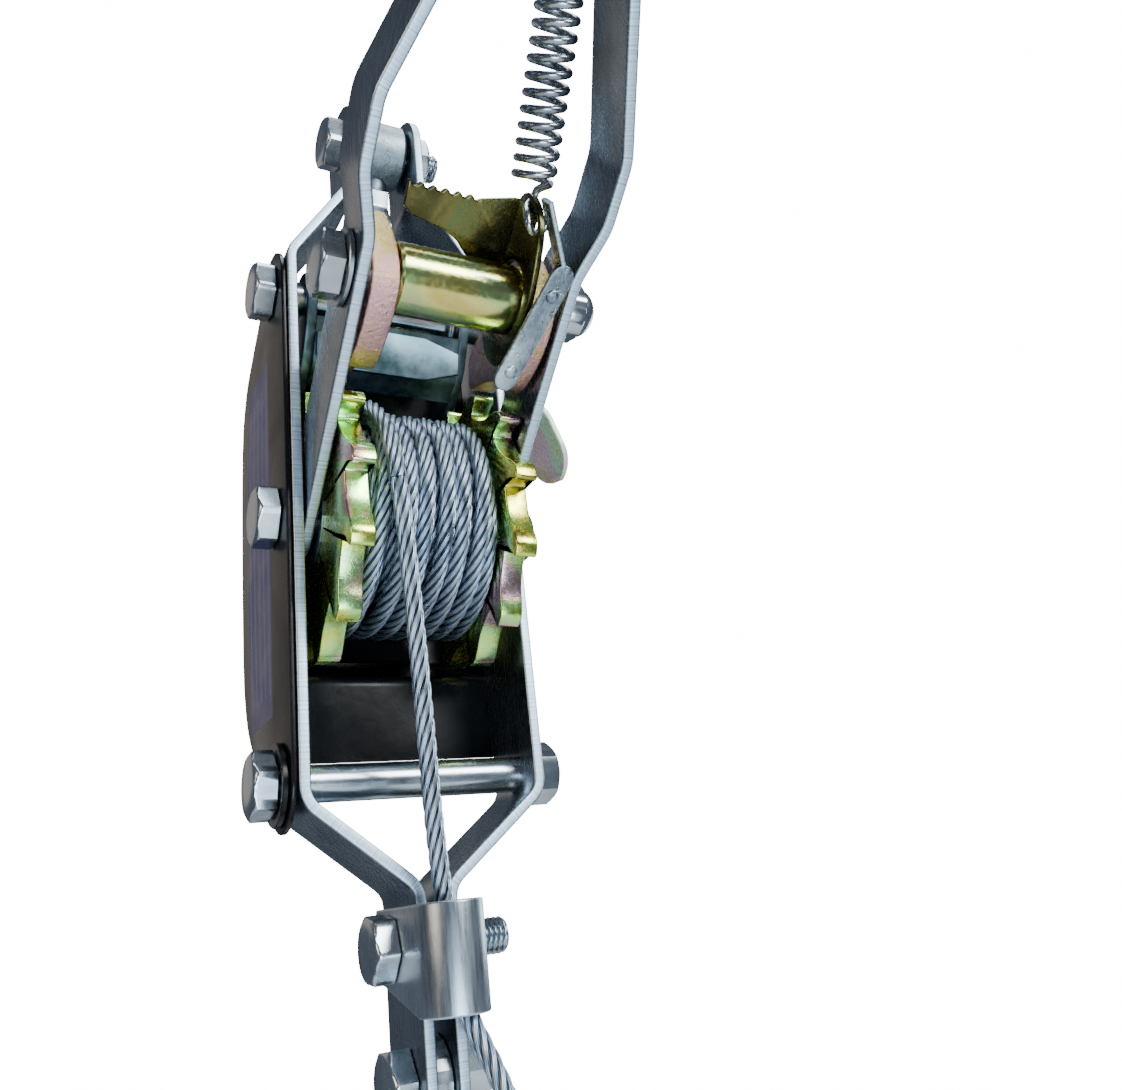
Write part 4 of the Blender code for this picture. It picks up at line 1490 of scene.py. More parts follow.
def at(centre: Sequence[float]) -> Callable[[Array], Array]:
    """A change that shifts points by a centre."""
    return lambda points: points + np.asarray(centre, float)


# ---------------------------------------------------------------- frame


@dataclass
class HangingFrame:
    """The two bent straps, the guard with its label, the rope guide and the frame's fasteners."""

    thickness: float = 3.6
    half_depth: float = 16.0
    bend: float = 9.0
    body: str = "frame"

    def build(self) -> None:
        """Makes every piece of the frame."""
        for side, node in ((-1, "frame_strap_left"), (1, "frame_strap_right")):
            self.strap(side, node)
        self.guard()
        self.label()
        self.guide()
        self.fasteners()
        self.pawl_spring()

    def strap(self, side: int, node: str) -> None:
        """One strap, from its lower round end to its upper one.

        Args:
            side: -1 for left, 1 for right.
            node: the node's name.
        """
        low, high = reach(node)
        half = self.thickness / 2
        outer = abs(low[0] if side < 0 else high[0]) - half
        tail = 6.8 - half
        corners = [
            (tail, low[2] - AXLE[2]), (tail, -123.5), (outer, -96), (outer, 99), (14.6 - half, 139)
        ]
        corners += [(14.6 - half, high[2] - AXLE[2])]
        line = filleted(corners, self.bend, 1.0) * (side, 1)
        made = bar(
            f"{node}_bar", line, round_ends(line, self.half_depth), self.thickness, STRAP_ZINC,
            shape=at(AXLE)
        )
        place(made, self.body, "zinc_strap", node)

    def guard(self) -> None:
        """The painted cheek outside the left strap, and the folded web behind the gears."""
        low, high = reach("guard")
        upper, lower = HOLD_PIVOT[2] - AXLE[2], middle("cross_bolt")[2] - AXLE[2]
        back = high[1]
        top = arc((0, upper), 15, 180, 20)
        shoulder = [(36, 79), (46, 71), (back, 50), (back, -38), (50, -58), (43, -69), (30, -80)]
        outline = np.vstack([top, shoulder, arc((0, lower), 15, -20, -180)])
        outline = soften(outline[::-1], 2)
        cheek = plate(
            "guard_cheek", outline, low[0], low[0] + 1.7, BLACK, edge=0.4, shape=at((0, 0, AXLE[2]))
        )
        place(cheek, self.body, "black_guard", "guard")
        line = filleted(
            [(17.8, -80), (17.8, -51), (back - 0.8, -37.5), (back - 0.8, 48), (46, 66), (34, 76)],
            3, 1.0
        )
        run = distances(line)
        left, corner = low[0] + 0.6, 5.0
        near = np.clip(run[-1] - run + 0.05, 0, corner)
        right = high[0] + 2.2 - (corner - np.sqrt(corner**2 - (corner - near) ** 2))
        section, _ = rounded_section((right - left) / 2, np.full(len(line), 0.8), 0.4)
        section[..., 0] += ((right + left) / 2)[:, None]
        path = in_yz(line, AXLE[2])
        web = shell("guard_web", carry(path, section, (1, 0, 0)), BLACK)
        place(web, self.body, "black_guard")
        deep = 15.0
        inner = [
            (36, 82), (26, 95), (17.2, 95), (17.2, 62), (34, 58), (back - deep, 46),
            (back - deep, -30), (18.4, -43)
        ]
        rim = np.array(
            [(18.4, -51), (back - 0.8, -37.5), (back - 0.8, 48), (46, 66), *inner], float
        )
        shift = at((0, 0, AXLE[2]))
        flange = plate(
            "guard_flange", counterclockwise(rim), high[0], high[0] + 1.6, BLACK, edge=0.4,
            shape=shift
        )
        place(flange, self.body, "black_guard")

    def label(self) -> None:
        """A plain printed sticker on the cheek, just proud of the paint."""
        x = reach("guard")[0][0] - 0.02
        y = np.linspace(8, 43, 8)
        z = np.linspace(-66, 66, 20)
        squeeze = 1 - 0.14 * np.abs(z / 66) ** 3
        grid_y = 8 + (y[None] - 8) * squeeze[:, None]
        grid = np.stack(
            [np.full_like(grid_y, x), grid_y, np.broadcast_to(z[:, None], grid_y.shape) + AXLE[2]],
            -1
        )
        u, v = np.meshgrid(np.linspace(0, 1, 8), np.linspace(0, 1, 20))
        back = grid + (0.12, 0, 0)
        rows, columns = grid.shape[:2]
        rim = np.r_[
            np.arange(columns),
            np.arange(1, rows) * columns + columns - 1,
            (rows - 1) * columns + np.arange(columns - 2, -1, -1),
            np.arange(rows - 2, 0, -1) * columns,
        ]
        count = rows * columns
        faces = quads(rows, columns, around=False).tolist() + quads(
            rows, columns, count, around=False
        )[:, ::-1].tolist()
        nxt = np.roll(rim, -1)
        faces += np.stack([rim, nxt, nxt + count, rim + count], -1).tolist()
        uv = np.tile(np.stack([v, u], -1).reshape(-1, 2), (2, 1))
        made = make_mesh(
            "guard_label", np.vstack([grid.reshape(-1, 3), back.reshape(-1, 3)]), faces, LABEL, uv
        )
        place(made, self.body, "black_guard")

    def guide(self) -> None:
        """The saddle: a U of sheet, whose sides are cut back below towards their rear ends."""
        low, high = reach("rope_guide")
        outer, wall = high[0], 3.0
        centre = outer - wall / 2
        bow = low[1] + outer
        lead = np.array([(centre, high[1]), (centre, bow)])
        line = resample(
            np.vstack([lead, arc((0, bow), centre, 0, -180, 40), lead[::-1] * (-1, 1)]), 0.8
        )
        top, bottom = high[2], low[2]
        rise = np.clip((line[:, 1] - bow - 4) / (high[1] - bow - 4), 0, 1) * 9.5
        half = (top - bottom - rise) / 2
        section, faces_out = rounded_section(half, np.full(len(line), wall / 2), 0.8)
        section[..., 0] += ((top + bottom + rise) / 2)[:, None]
        path = np.stack([line[:, 0], line[:, 1], 0 * line[:, 0]], -1)
        rings = carry(path, section, (0, 0, 1))
        made = shell("rope_guide_saddle", rings, LIT_GUIDE_ZINC, uv=bar_map(path, faces_out))
        place(made, self.body, "zinc_strap", "rope_guide")

    def fasteners(self) -> None:
        """Every bolt, nut and washer of the frame, read from its node's own box."""
        threads = {
            "pawl": 13.0, "axle": 13.0, "cross": 13.0, "anchor": 26.0, "guide": 26.0,
            "dead_end": 26.0
        }
        for index, (where, thread) in enumerate(threads.items()):
            fit_bolt(f"{where}_bolt", self.body, 11 + 17 * index, thread)
        for index, where in enumerate(("pawl", "axle", "cross", "anchor", "dead_end")):
            fit_nut(f"{where}_nut", self.body, 5 + 23 * index)
        low, high = reach("cross_washer")
        washer = ring_washer(
            "cross_washer_ring", low[0], high[0], 13, middle("cross_washer")[1:], BLACK
        )
        place(washer, self.body, "black_guard", "cross_washer")

    def pawl_spring(self) -> None:
        """The holding pawl's torsion spring: turns of wire round the pawl bolt."""
        low, high = reach("pawl_spring")
        turn = np.linspace(0, 2 * np.pi * 2.6, 150)
        x = low[0] + 0.9 + (high[0] - low[0] - 1.8) * turn / turn[-1]
        coil = np.stack([x, 8.0 * np.sin(turn), HOLD_PIVOT[2] - 8.0 * np.cos(turn)], -1)
        made = shell("pawl_spring_wire", carry(coil, circle(10, 0.85), (1, 0, 0)), SPRING_STEEL)
        place(made, self.body, "spring_wire", "pawl_spring")


# ---------------------------------------------------------------- drum


@dataclass
class Drum:
    """Two ratchet wheels on a core, and the rope wound between them."""

    rope: WireRope = field(default_factory=WireRope)
    teeth: int = 12
    face_deg: float = 62.0
    bore: float = 17.3
    inner_layer: float = 31.4
    outer_layer: float = 37.2
    core: float = 17.4
    bed: float = 30.6  # radius of the layers underneath
    body: str = "drum"

    def build(self) -> None:
        """Makes the wheels, then the winding."""
        for node in ("gear_left", "gear_right"):
            self.wheel(node)
        dress_node("drum_core", STAMPED_ZINC)
        self.winding()

    def outline(self) -> Array:
        """One tooth is a steep face with a hooked tip, a short land and a hollow back; it repeats
        round the wheel.

        Returns:
            The points.
        """
        angle = np.array([0.0, 0.7, -0.2, -1.9, -1.3, 0.8, 4.2, 7.6, 11.5, 16.5, 22.0, 27.0, 28.8])
        radius = np.array(
            [42.4, 44.2, 46.6, 49.4, 50.9, 51.0, 50.7, 48.4, 45.2, 43.0, 42.1, 41.9, 41.9]
        )
        turns = np.arange(self.teeth)[:, None] * 360 / self.teeth
        points = polar((self.face_deg + turns + angle[None]).ravel(), np.tile(radius, self.teeth))
        return soften(points, 2)

    def wheel(self, node: str) -> None:
        """A wheel as one closed ring of loops: bore, flat side with a shallow pressed step, rounded
        rim, flat side.

        Args:
            node: the node's name.
        """
        low, high = reach(node)
        rim = counterclockwise(self.outline())
        angle = np.arctan2(rim[:, 1], rim[:, 0])
        spoke = np.stack([np.cos(angle), np.sin(angle)], -1)
        turn = np.linspace(0, np.pi / 2, 4)
        edge = 0.6
        inset, drop = edge * (1 - np.sin(turn)), edge * (1 - np.cos(turn))
        loops, places = [self.bore * spoke, 30.0 * spoke, 31.5 * spoke], [0.6, 0.6, 0.0]
        for i, d in zip(inset, drop):
            loops.append(offset_outline(rim, i))
            places.append(d)
        width = high[0] - low[0]
        loops += loops[::-1]
        places = np.array(places + [width - p for p in places[::-1]])
        rings = np.stack(
            [np.c_[np.full(len(rim), low[0] + p), loop] for loop, p in zip(loops, places)]
        )
        made = shell(f"{node}_wheel", rings + (0, 0, AXLE[2]), TOOTH_ZINC, along=True)
        place(made, self.body, "yellow_zinc", node)

    def line(self) -> Array:
        """The wound rope's line: x and radius against turns before it leaves, smoothed, then
        wrapped round the axle.

        Returns:
            The points.
        """
        inner, outer = self.inner_layer, self.outer_layer
        knots = [
            (-13.3, -19.6, inner), (-7.3, 19.4, inner), (-6.9, 20.0, outer), (-6.1, 18.6, outer)
        ]
        knots += [
            (-5.6, 12.6, outer + 0.3), (-5.1, 12.2, outer), (-4.6, 5.8, outer + 0.5),
            (-4.1, 6.0, outer)
        ]
        knots += [
            (-3.6, -0.8, outer + 0.3), (-3.1, -0.6, outer), (-2.6, -7.4, outer + 0.4),
            (-2.1, -7.2, outer)
        ]
        knots += [
            (-1.6, -14.2, outer + 0.3), (-1.1, -14.2, outer), (-0.85, -19.6, outer),
            (-0.50, -19.6, 38.6)
        ]
        knots = np.array([*knots, (-0.28, -18.2, 41.0), (-0.1, -15.0, 41.2), (0.0, -13.6, 41.0)])
        turns = np.linspace(knots[0, 0], 0, 2600)
        x = np.interp(turns, knots[:, 0], knots[:, 1])
        r = np.interp(turns, knots[:, 0], knots[:, 2])
        wide = 41
        kernel = np.hanning(wide) / np.hanning(wide).sum()
        ends = np.ones(wide // 2)
        smooth = [np.convolve(np.r_[v[0] * ends, v, v[-1] * ends], kernel, "valid") for v in (x, r)]
        x, r = smooth[0] + 0.45 * np.sin(turns * 9.1) * np.clip(-turns * 2, 0, 1), smooth[1]
        phi = -2 * np.pi * turns
        path = np.stack([x, -r * np.cos(phi), r * np.sin(phi)], -1) + (0, 0, AXLE[2])
        return resample(path, 2.0)

    def winding(self) -> None:
        """The wound rope, over a dark bed that stands for the layers underneath."""
        path = self.line()
        length = float(np.linalg.norm(np.diff(path, axis=0), axis=1).sum())
        made = rope_mesh("rope_winding_strands", self.rope, path, (1, 0, 0), first=-length)
        place(made, self.body, "wire_rope", "rope_winding")
        low, high = reach("rope_winding")
        stations = (low[0], low[0], high[0], high[0])
        radii = (self.core, self.bed, self.bed, self.core)
        rings = turned_rings(stations, radii, AXLE[1:], around=64)
        bed = shell("rope_bed", rings, STAMPED_ZINC, along=True)
        place(bed, self.body, "wire_rope")
        LOG.info("wound rope is %.0f mm long", length)


# ---------------------------------------------------------------- handle


@dataclass
class Handle:
    """The forked lever: two straps, their bolt, rivets, the spring pin and the grip."""

    thickness: float = 4.0
    half_depth: float = 13.0
    body: str = "handle"

    def turn(self, points: Array) -> Array:
        """Takes points in the lever's own frame, with Z along it, to where it stands."""
        return about_x(points + AXLE, TILT_DEG, AXLE)

    def build(self) -> None:
        """Makes every piece of the lever."""
        for side, node in ((-1, "handle_strap_left"), (1, "handle_strap_right")):
            line = filleted(
                [(34.6, -13), (34.6, 101), (40, 119), (40, 140), (2.15, 262), (2.15, 430)], 22, 1.0
            )
            line = line * (side, 1)
            depth = round_ends(line, self.half_depth)
            made = bar(
                f"{node}_bar", line, depth, self.thickness, STRAP_ZINC, edge=0.9, shape=self.turn
            )
            place(made, self.body, "zinc_strap", node)
        fit_bolt("handle_bolt", self.body, 8, 10.0, PAWL_PIVOT[1:])
        low, high = reach("handle_washer")
        washer = ring_washer(
            "handle_washer_ring", low[0], high[0], 12, PAWL_PIVOT[1:], STRAP_ZINC_PLAIN
        )
        place(washer, self.body, "zinc_strap", "handle_washer")
        self.dome_nut()
        for node in ("handle_rivet_1", "handle_rivet_2", "spring_pin"):
            self.rivet(node)
        self.grip()

    def dome_nut(self) -> None:
        """The domed nut: a hexagon with a chamfer that runs into a cap, with a plain bore from its
        near face.
        """
        near = reach("handle_nut")[0][0]
        side = hexagon(20)
        dome = np.radians(np.linspace(8, 84, 9))
        cap_at, cap_r = 7.0 + 6.0 * np.sin(dome), 8.2 * np.cos(dome)
        stations = np.r_[0.6, 0.0, 0.0, 0.7, 6.0, 6.6, 7.0, cap_at]
        flat = [BOLT_HOLE, 7.0, *(np.minimum(side, r) for r in (9.0, 10.4, 10.4, 9.3)), 8.3, *cap_r]
        radii = np.stack([np.broadcast_to(r, side.shape) for r in flat])
        made = shell(
            "handle_nut_dome", turned_rings(near + stations, radii, PAWL_PIVOT[1:]), BOLT_ZINC
        )
        place(made, self.body, "zinc_fastener", "handle_nut")

    def rivet(self, node: str) -> None:
        """A rivet with a domed head at each end.

        Args:
            node: the node it stands for.
        """
        low, high = reach(node)
        half = (high[0] - low[0]) / 2
        head = (high[2] - low[2]) / 2
        shank = head * 0.6
        rise = np.radians(np.linspace(90, 0, 7))
        head_at, head_r = half - 2.2 + 2.2 * np.sin(rise), head * np.cos(rise) + 0.01
        stations = np.r_[-head_at, -half + 2.2, half - 2.2, head_at[::-1]]
        radii = np.r_[head_r, shank, shank, head_r[::-1]]
        rings = turned_rings(stations, radii, middle(node)[1:], around=32)
        place(shell(f"{node}_round", rings, BOLT_ZINC), self.body, "zinc_fastener", node)

    def grip(self) -> None:
        """A moulded grip: an oval section along the lever, swollen at both ends and waisted by
        finger rings.
        """
        z = np.linspace(0, 1, 150)
        start, end = 318.0, 436.0
        swell = 1 - 0.10 * np.sin(np.pi * z) ** 0.8 + 0.035 * np.cos(2 * np.pi * 9 * z) * (
            np.abs(z - 0.5) < 0.42
        )
        close = np.sqrt(np.clip(np.minimum(z, 1 - z) / 0.035, 0.02, 1))
        angle = np.linspace(0, 2 * np.pi, 48, endpoint=False)
        c, s = np.cos(angle), np.sin(angle)
        oval = np.stack(
            [10.6 * np.sign(c) * np.abs(c) ** 0.75, 16.4 * np.sign(s) * np.abs(s) ** 0.75], -1
        )
        rings = oval[None] * (swell * close)[:, None, None]
        rings = np.concatenate(
            [
                rings,
                np.broadcast_to((start + (end - start) * z)[:, None, None], (*rings.shape[:2], 1))
            ],
            -1
        )
        place(
            shell("handle_grip_moulding", self.turn(rings), RUBBER), self.body, "grip_rubber",
            "handle_grip"
        )


# ---------------------------------------------------------------- drive pawls


@dataclass
class DrivePawls:
    """The pair of drive pawls on their tube, the thumb plate, the outer strip and the pull spring.
    """

    face_deg: float = 62.0
    lift_deg: float = 19.0
    body: str = "drive_pawl"

    def turn(self, points: Array) -> Array:
        """Takes points in the tube's own frame, with Z along the lever, to where they stand."""
        return about_x(points + PAWL_PIVOT, TILT_DEG, PAWL_PIVOT)

    def outline(self) -> Array:
        """A pawl's side view in the tube's frame: its nose, lifted off the teeth, and its body.

        Returns:
            The points.
        """
        nose = in_yz(pawl_nose(self.face_deg, 1.6)) + AXLE
        nose = about_x(about_x(nose, self.lift_deg, PAWL_PIVOT), -TILT_DEG, PAWL_PIVOT) - PAWL_PIVOT
        body = [
            (20, -6), (25, 8), (23, 17), (2, 12), (-9, 6), (-13, -2), (-12, -14), (-7, -26),
            (-2, -31), (3, -29)
        ]
        return soften(np.vstack([nose[:, 1:], body]), 2)

    def build(self) -> None:
        """Makes every piece that swings on the tube, then the spring."""
        for node in ("drive_pawl_left", "drive_pawl_right"):
            low, high = reach(node)
            made = plate(
                f"{node}_plate", self.outline(), low[0], high[0], PAWL_ZINC, edge=0.8,
                shape=self.turn
            )
            place(made, self.body, "yellow_zinc", node)
        self.tube()
        self.thumb_plate()
        self.strip()
        self.spring()

    def tube(self) -> None:
        """The spacer tube, with eased ends."""
        low, high = reach("pawl_tube")
        r = (high[2] - low[2]) / 2 - 1.2
        stations = np.array([low[0], low[0], low[0] + 0.8, high[0] - 0.8, high[0], high[0]])
        rings = turned_rings(
            stations, (6.3, r - 0.8, r, r, r - 0.8, 6.3), PAWL_PIVOT[1:], around=64
        )
        made = shell("pawl_tube_round", rings, TUBE_ZINC, along=True)
        place(made, self.body, "yellow_zinc", "pawl_tube")

    def thumb_plate(self) -> None:
        """A side plate round the tube, and a tab bent left from it whose upper edge is waved for
        the thumb.
        """
        side = [
            (12, -18), (17, 0), (16, 14), (12, 30), (6, 35), (-4, 33), (-12, 26), (-16, 12),
            (-17.5, 0), (-12, -19)
        ]
        side = soften([*side, (0, -23)], 2)
        hole = circle(40, 12.9)
        eye = circle(20, 2.6) + (-6, 26)
        made = plate(
            "thumb_side", side, 17.6, 19.8, SHADED_YELLOW_ZINC, edge=0.4, holes=(hole, eye), shape=self.turn
        )
        place(made, self.body, "yellow_zinc", "thumb_plate")
        x = np.linspace(-20, 19, 60)
        wave = 0.7 * np.sin(x * 1.5) * (x < 4)
        upper = np.stack([x, 28.0 + wave + 3.0 * np.clip((x - 4) / 12, 0, 1)], -1)
        lower = np.array([(19, 9.6), (4, 9.6), (0, 13.5), (-6, 16.5), (-17, 18.5), (-20, 21)])
        tab = np.vstack([lower[::-1], upper[::-1]])
        made = plate("thumb_tab", tab, 9.0, 11.2, SHADED_YELLOW_ZINC, Axis.Y, edge=0.5, shape=self.turn)
        place(made, self.body, "yellow_zinc")

    def strip(self) -> None:
        """The strip on the right pawl: a flat lower leg with two pressed dimples, and an upper leg
        bent back in.
        """
        leg = np.array([(16.2, -20.5), (25.4, 15.0)])
        along = (leg[1] - leg[0]) / np.linalg.norm(leg[1] - leg[0])
        lean = math.degrees(math.atan2(along[1], along[0]))
        lower = arc(leg[0], 3.9, lean + 90, lean + 270, 16)
        upper = arc(leg[1], 3.9, lean - 90, lean + 90, 16)
        outline = np.vstack([lower, upper])
        made = plate(
            "outer_strip_leg", outline, -20.6, -18.8, ROUGH_ZINC, Axis.Y, edge=0.5, shape=self.turn
        )
        place(made, self.body, "zinc_strap", "outer_strip")
        rise = np.radians(np.linspace(0, 80, 6))
        for index, share in enumerate((0.08, 0.82)):
            centre = leg[0] + share * (leg[1] - leg[0])
            stations = np.r_[-20.0, -20.6 - 0.9 * np.sin(rise)]
            dimple = turned_rings(stations, np.r_[2.2, 2.2 * np.cos(rise)], centre, Axis.Y, 28)
            made = shell(f"outer_strip_dimple_{index}", self.turn(dimple), ROUGH_ZINC)
            place(made, self.body, "zinc_strap")
        line = filleted([(26.4, 13), (24.6, 19), (14.8, 36)], 4, 0.8)
        half = 3.6 + 0 * line[:, 0]
        shift = at((0, -17.0, 0))
        made = bar(
            "outer_strip_bend", line, half, 1.8, STRAP_ZINC, shape=lambda p: self.turn(shift(p))
        )
        place(made, self.body, "zinc_strap")

    def spring(self) -> None:
        """The pull spring: coils of wire on a slanted axis, a hook through the thumb plate and one
        on the pin.
        """
        handle = Handle()
        low, high = np.array([16.2, 0.0, 126.0]), np.array([6.6, 0.0, 196.0])
        turns, radius, wire = 15.0, 6.1, 1.25
        t = np.linspace(0, 1, int(turns * 26))
        axis = (high - low) / np.linalg.norm(high - low)
        side = np.cross((0, 1, 0), axis)
        angle = 2 * np.pi * turns * t
        around = np.cos(angle)[:, None] * side + np.sin(angle)[:, None] * np.array((0, 1.0, 0))
        coil = low + (high - low) * t[:, None] + radius * around
        rings = carry(coil, circle(10, wire), tuple(axis))
        self.join(shell("pull_spring_coil", handle.turn(rings), SPRING_STEEL), "pull_spring")
        hook = [coil[0], (20, 3.4, 124), (19.4, 3.8, 121), (17.0, 1.5, 118.4), (15.6, -3.5, 116.8)]
        hook += [(15.8, -6.2, 114.0), (18.6, -6.4, 112.0), (21.6, -6.0, 114.6), (22.0, -5.0, 118.0)]
        line = smooth_curve(hook, 90)
        made = shell(
            "pull_spring_hook", handle.turn(carry(line, circle(10, wire), (0.3, 1, 0.2))),
            SPRING_STEEL
        )
        self.join(made)
        top = [
            coil[-1], (7.6, 4.4, 199), (7.2, 3.6, 203), (7.0, 3.9, 208), (7.0, 1.5, 212.0),
            (7.0, -2.4, 211.4)
        ]
        top += [(7.0, -3.9, 208), (7.0, -2.8, 204.2)]
        line = smooth_curve(top, 80)
        made = shell(
            "pull_spring_top", handle.turn(carry(line, circle(10, wire), (1, 0, 0))), SPRING_STEEL
        )
        place(made, "handle", "spring_wire")

    def join(self, piece: bpy.types.Object, *nodes: str) -> None:
        """Bakes a spring piece's placement into its points and hides the nodes it stands for.

        Args:
            piece: the piece.
            nodes: the nodes it stands for.
        """
        turn = Handle().turn
        start, end = turn(np.array([0.0, 0.0, 190.0])), turn(np.array([0.0, 0.0, 118.0]))
        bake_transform(piece)
        if nodes:
            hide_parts(*nodes)


# ---------------------------------------------------------------- holding pawl


@dataclass
class HoldingPawl:
    """The pressed holding pawl, with an arm and nose over each wheel, and the lever that lifts it.
    """

    face_deg: float = 122.0
    lift_deg: float = 12.0
    body: str = "holding_pawl"

    def turn(self, points: Array) -> Array:
        """Takes points from the engaged pose, round the pawl bolt, to the lifted one."""
        return about_x(points + HOLD_PIVOT, self.lift_deg, HOLD_PIVOT)

    def build(self) -> None:
        """Makes the pressing's arms and web, then the lever."""
        nose = pawl_nose(self.face_deg, 0.95) - (0, HOLD_PIVOT[2] - AXLE[2])
        body = [(12, 0), (8, 9), (-2, 11), (-10, 4), (-8, -12), (-2, -26)]
        outline = soften(np.vstack([nose, body]), 2)
        for name, low, high in (
            ("holding_pawl_left", -32.0, -28.0), ("holding_pawl_right", 28.0, 32.0)
        ):
            made = plate(
                name, outline, low, high, STAMPED_ZINC, edge=0.7, holes=(circle(32, 6.2),),
                shape=self.turn
            )
            nodes = ("holding_pawl",) if high < 0 else ()
            place(made, self.body, "zinc_strap", *nodes)
        self.web()
        self.lever()

    def web(self) -> None:
        """The web between the arms: a folded sheet, and a flat face with a pin set on it in a black
        disc that is painted shade for the hole round the pin.
        """
        line = filleted([(-7, -8), (-3.5, -24), (4, -30)], 4, 0.8)
        path = in_yz(line)
        section, _ = rounded_section(np.full(len(path), 28.4), np.full(len(path), 1.3), 0.6)
        made = shell("holding_pawl_web", self.turn(carry(path, section, (1, 0, 0))), STAMPED_ZINC)
        place(made, self.body, "zinc_strap")
        face = soften([(-28, -27), (28, -27), (28, -10), (-28, -10)], 1)
        made = plate(
            "holding_pawl_face", face, -8.2, -6.2, STAMPED_ZINC, Axis.Y, edge=0.5, shape=self.turn
        )
        place(made, self.body, "zinc_strap")
        # the black "hole" disc is painted shade: a dark disc where the hole round the pin would lie
        # in shadow
        for name, radius, proud, finish in (
            ("hole", 3.4, 0.3, BLACK), ("pin", 2.0, 0.9, TOOTH_ZINC)
        ):
            stations = (-8.0, -8.2 - proud * 0.6, -8.2 - proud)
            rings = turned_rings(stations, (radius, radius, radius * 0.7), (-14, -19), Axis.Y, 32)
            place(shell(f"holding_pawl_{name}", self.turn(rings), finish), self.body, "zinc_strap")

    def lever(self) -> None:
        """The release lever outside the frame: a narrow arm that ends in a dished, rounded thumb
        pad.
        """
        near = reach("release_lever")[0][0] + 1.2
        line = filleted([(near, 9), (near, -34), (near + 9, -44), (near + 19, -66)], 8, 0.8)
        run = distances(line)
        z = line[:, 1]
        pad = np.clip((-z - 26) / 12, 0, 1) ** 0.8
        half = 8.0 + 6.5 * pad
        end = np.clip(run[-1] - run + 0.05, 0, 13)
        half = half * np.sqrt(1 - (1 - end / 13) ** 2)
        start = np.clip(run + 0.05, 0, 8)
        half = half * np.sqrt(1 - (1 - start / 8) ** 2)
        centre = np.interp(-z, [-9, 0, 20, 42, 58, 69], [0, 0, -8, -24, -26, -25])
        path = np.stack([line[:, 0], 0 * z, z], -1)
        section, _ = rounded_section(half, np.full(len(path), 1.2), 0.8, 5)
        dish = 2.4 * pad[:, None] * (1 - (section[..., 0] / half[:, None]) ** 2)
        section[..., 1] += dish
        section[..., 0] += centre[:, None]
        made = shell("release_lever_arm", self.turn(carry(path, section, (0, 1, 0))), LIT_LEVER_ZINC)
        place(made, self.body, "yellow_zinc", "release_lever")


# ---------------------------------------------------------------- hooks and block


@dataclass
class HookShape:
    """A forged hook in the YZ plane that opens to the front, and its sprung latch."""

    drop: float
    bowl: float = 19.0
    bowl_drop: float = 44.0  # from the top of the bar to the middle of the bowl

    def line(self) -> Array:
        """The bar's centre line, from its neck down round the bowl to its tip.

        Returns:
            The points.
        """
        centre = -self.drop - self.bowl_drop
        points = [(0, 0, -self.drop), (0, 1, -self.drop - 12), (0, 13, centre + 16)]
        right = np.radians([10, -30, -70])
        points += np.stack(
            [0 * right, self.bowl * np.cos(right), centre + self.bowl * np.sin(right)], -1
        ).tolist()
        left = np.radians([-70, -30])
        points += np.stack(
            [0 * left, -self.bowl * np.cos(left), centre + self.bowl * np.sin(left)], -1
        ).tolist()
        points += [(0, -self.bowl - 1, centre + 3), (0, -self.bowl - 3, centre + 14)]
        return smooth_curve(points, 110)

    def bar(self, name: str, turn: Callable[[Array], Array]) -> bpy.types.Object:
        """The bar, thicker round the bowl, and drawn in to a rounded tip.

        Args:
            name: the piece's name.
            turn: the change that puts it in place.

        Returns:
            The object.
        """
        path = self.line()
        t = np.linspace(0, 1, len(path))
        swell = np.sin(np.pi * np.clip((t - 0.15) / 0.7, 0, 1))
        radius = 6.1 + 2.3 * swell - 2.1 * np.clip(t - 0.8, 0, 1) / 0.2
        radius = radius * np.sqrt(np.clip((1 - t) / 0.035, 0.03, 1))
        profile = circle(28)[None] * radius[:, None, None] * (0.94, 1.0)
        return shell(name, turn(carry(path, profile, (1, 0, 0))), FORGED_ZINC)

    def latch(self, name: str, turn: Callable[[Array], Array]) -> bpy.types.Object:
        """The latch: a strip of sheet bent to lie across the mouth.

        Args:
            name: the piece's name.
            turn: the change that puts it in place.

        Returns:
            The object.
        """
        centre = -self.drop - self.bowl_drop
        line = filleted(
            [(-7.6, centre + 36), (-8.4, centre + 29), (-15.4, centre + 21), (-15.8, centre + 12)],
            4, 0.6
        )
        path = in_yz(line)
        section, _ = rounded_section(np.full(len(path), 4.5), np.full(len(path), 0.8), 0.4)
        return shell(name, turn(carry(path, section, (1, 0, 0))), STRAP_ZINC_PLAIN)


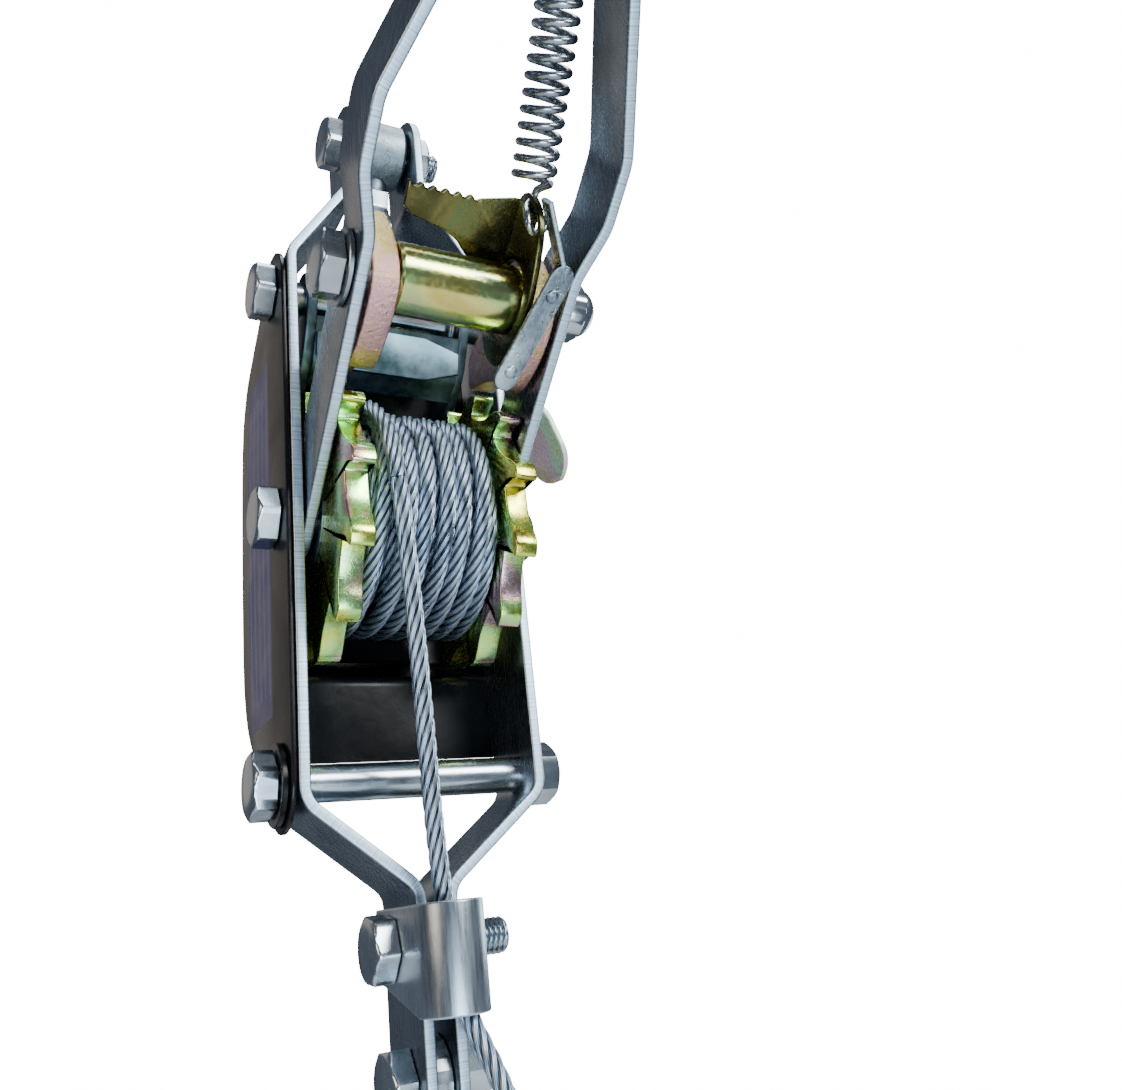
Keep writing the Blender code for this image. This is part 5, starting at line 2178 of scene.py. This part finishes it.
@dataclass
class Hooks:
    """The anchor hook on the frame's upper bolt, and the load hook in the block's yoke."""

    hang_deg: float = 21.0

    def build(self) -> None:
        """Makes both hooks, with their latches."""
        origin = middle("anchor_bolt") * (0, 1, 1)

        def hang(points: Array) -> Array:
            """Swings points about the anchor bolt."""
            return about_x(points + origin, self.hang_deg, origin)

        shape = HookShape(9.0)
        place(shape.bar("anchor_hook_bar", hang), "anchor_hook", "forged_zinc", "anchor_hook")
        half = reach("anchor_hook")[1][0]
        at_x = np.array([-half, -half, -half + 1.2, half - 1.2, half, half])
        rings = turned_rings(at_x, (6.3, 11.8, 13, 13, 11.8, 6.3), origin[1:], around=56)
        eye = shell("anchor_hook_eye", rings, FORGED_ZINC, along=True)
        place(eye, "anchor_hook", "forged_zinc")
        place(shape.latch("anchor_latch_strip", hang), "anchor_latch", "zinc_strap", "anchor_latch")
        yoke = middle("yoke_bolt") * (0, 1, 1)
        load = HookShape(22.0)
        place(load.bar("block_hook_bar", at(yoke)), "block_hook", "forged_zinc", "block_hook")
        stations = np.array([-9.4, -14.7, -14.9, -19.2, -19.6, -24, -27])
        neck = np.array([5.9, 6.0, 5.0, 5.0, 9.3, 8.8, 5.8])
        rings = turned_rings(stations + yoke[2], neck, (0, yoke[1]), Axis.Z, 40)
        place(shell("block_hook_neck", rings, FORGED_ZINC), "block_hook", "forged_zinc")
        place(load.latch("block_latch_strip", at(yoke)), "block_latch", "zinc_strap", "block_latch")


@dataclass
class SnatchBlock:
    """The block's two cheeks, its bolts and yoke, and the sheave between them."""

    drop: float = 47.0

    def build(self) -> None:
        """Makes every piece of the block."""
        centre = middle("sheave")
        top, low_r = 28.0, 14.0
        lean = math.degrees(math.asin((top - low_r) / self.drop))
        crown = arc((0, 0), top, -lean, 180 + lean, 60)
        foot = arc((0, -self.drop), low_r, 180 + lean, 360 - lean, 36)
        outline = np.vstack([crown, foot])
        for node in ("block_cheek_left", "block_cheek_right"):
            low, high = reach(node)
            holes = (circle(32, 6.2), circle(32, 6.2) + (0, -self.drop))
            made = plate(
                f"{node}_plate", outline, low[0], high[0], ZINC_CHEEK, edge=0.7, holes=holes,
                shape=at(centre * (0, 1, 1))
            )
            place(made, "block", "zinc_strap", node)
        for index, name in enumerate(("sheave", "yoke")):
            fit_bolt(f"{name}_bolt", "block", 9 + 20 * index)
            fit_nut(f"{name}_nut", "block", 14 + 9 * index)
        self.sheave()
        dress_node("block_yoke", FORGED_ZINC)

    def sheave(self) -> None:
        """A turned wheel whose groove is an arc that the rope fits."""
        half, rim, groove, fit = reach("sheave")[1][0], 26.0, 18.4, 3.6
        angle = np.radians(np.linspace(150, 30, 15))
        valley_at, valley_r = -fit * np.cos(angle)[::-1], groove + fit - fit * np.sin(angle)
        stations = np.r_[
            -half, -half, -half + 0.8, -half + 1.4, valley_at[::-1], half - 1.4, half - 0.8, half,
            half
        ]
        radii = np.r_[6.3, rim - 0.8, rim, rim, valley_r, rim, rim, rim - 0.8, 6.3]
        rings = turned_rings(stations, radii, middle("sheave")[1:], around=72)
        place(
            shell("sheave_wheel", rings, STAMPED_ZINC, along=True), "sheave", "sheave_steel",
            "sheave"
        )


# ---------------------------------------------------------------- the whole puller


def main() -> None:
    """Builds the studio, then the rope, then each sub-assembly."""
    logging.basicConfig(level=logging.INFO, format="%(message)s")
    for sub_assembly in (
        Studio(),
        Rigging(),
        HangingFrame(),
        Drum(),
        Handle(),
        DrivePawls(),
        HoldingPawl(),
        Hooks(),
        SnatchBlock(),
    ):
        LOG.info("building %s", type(sub_assembly).__name__)
        sub_assembly.build()


if __name__ == "__main__":
    main()
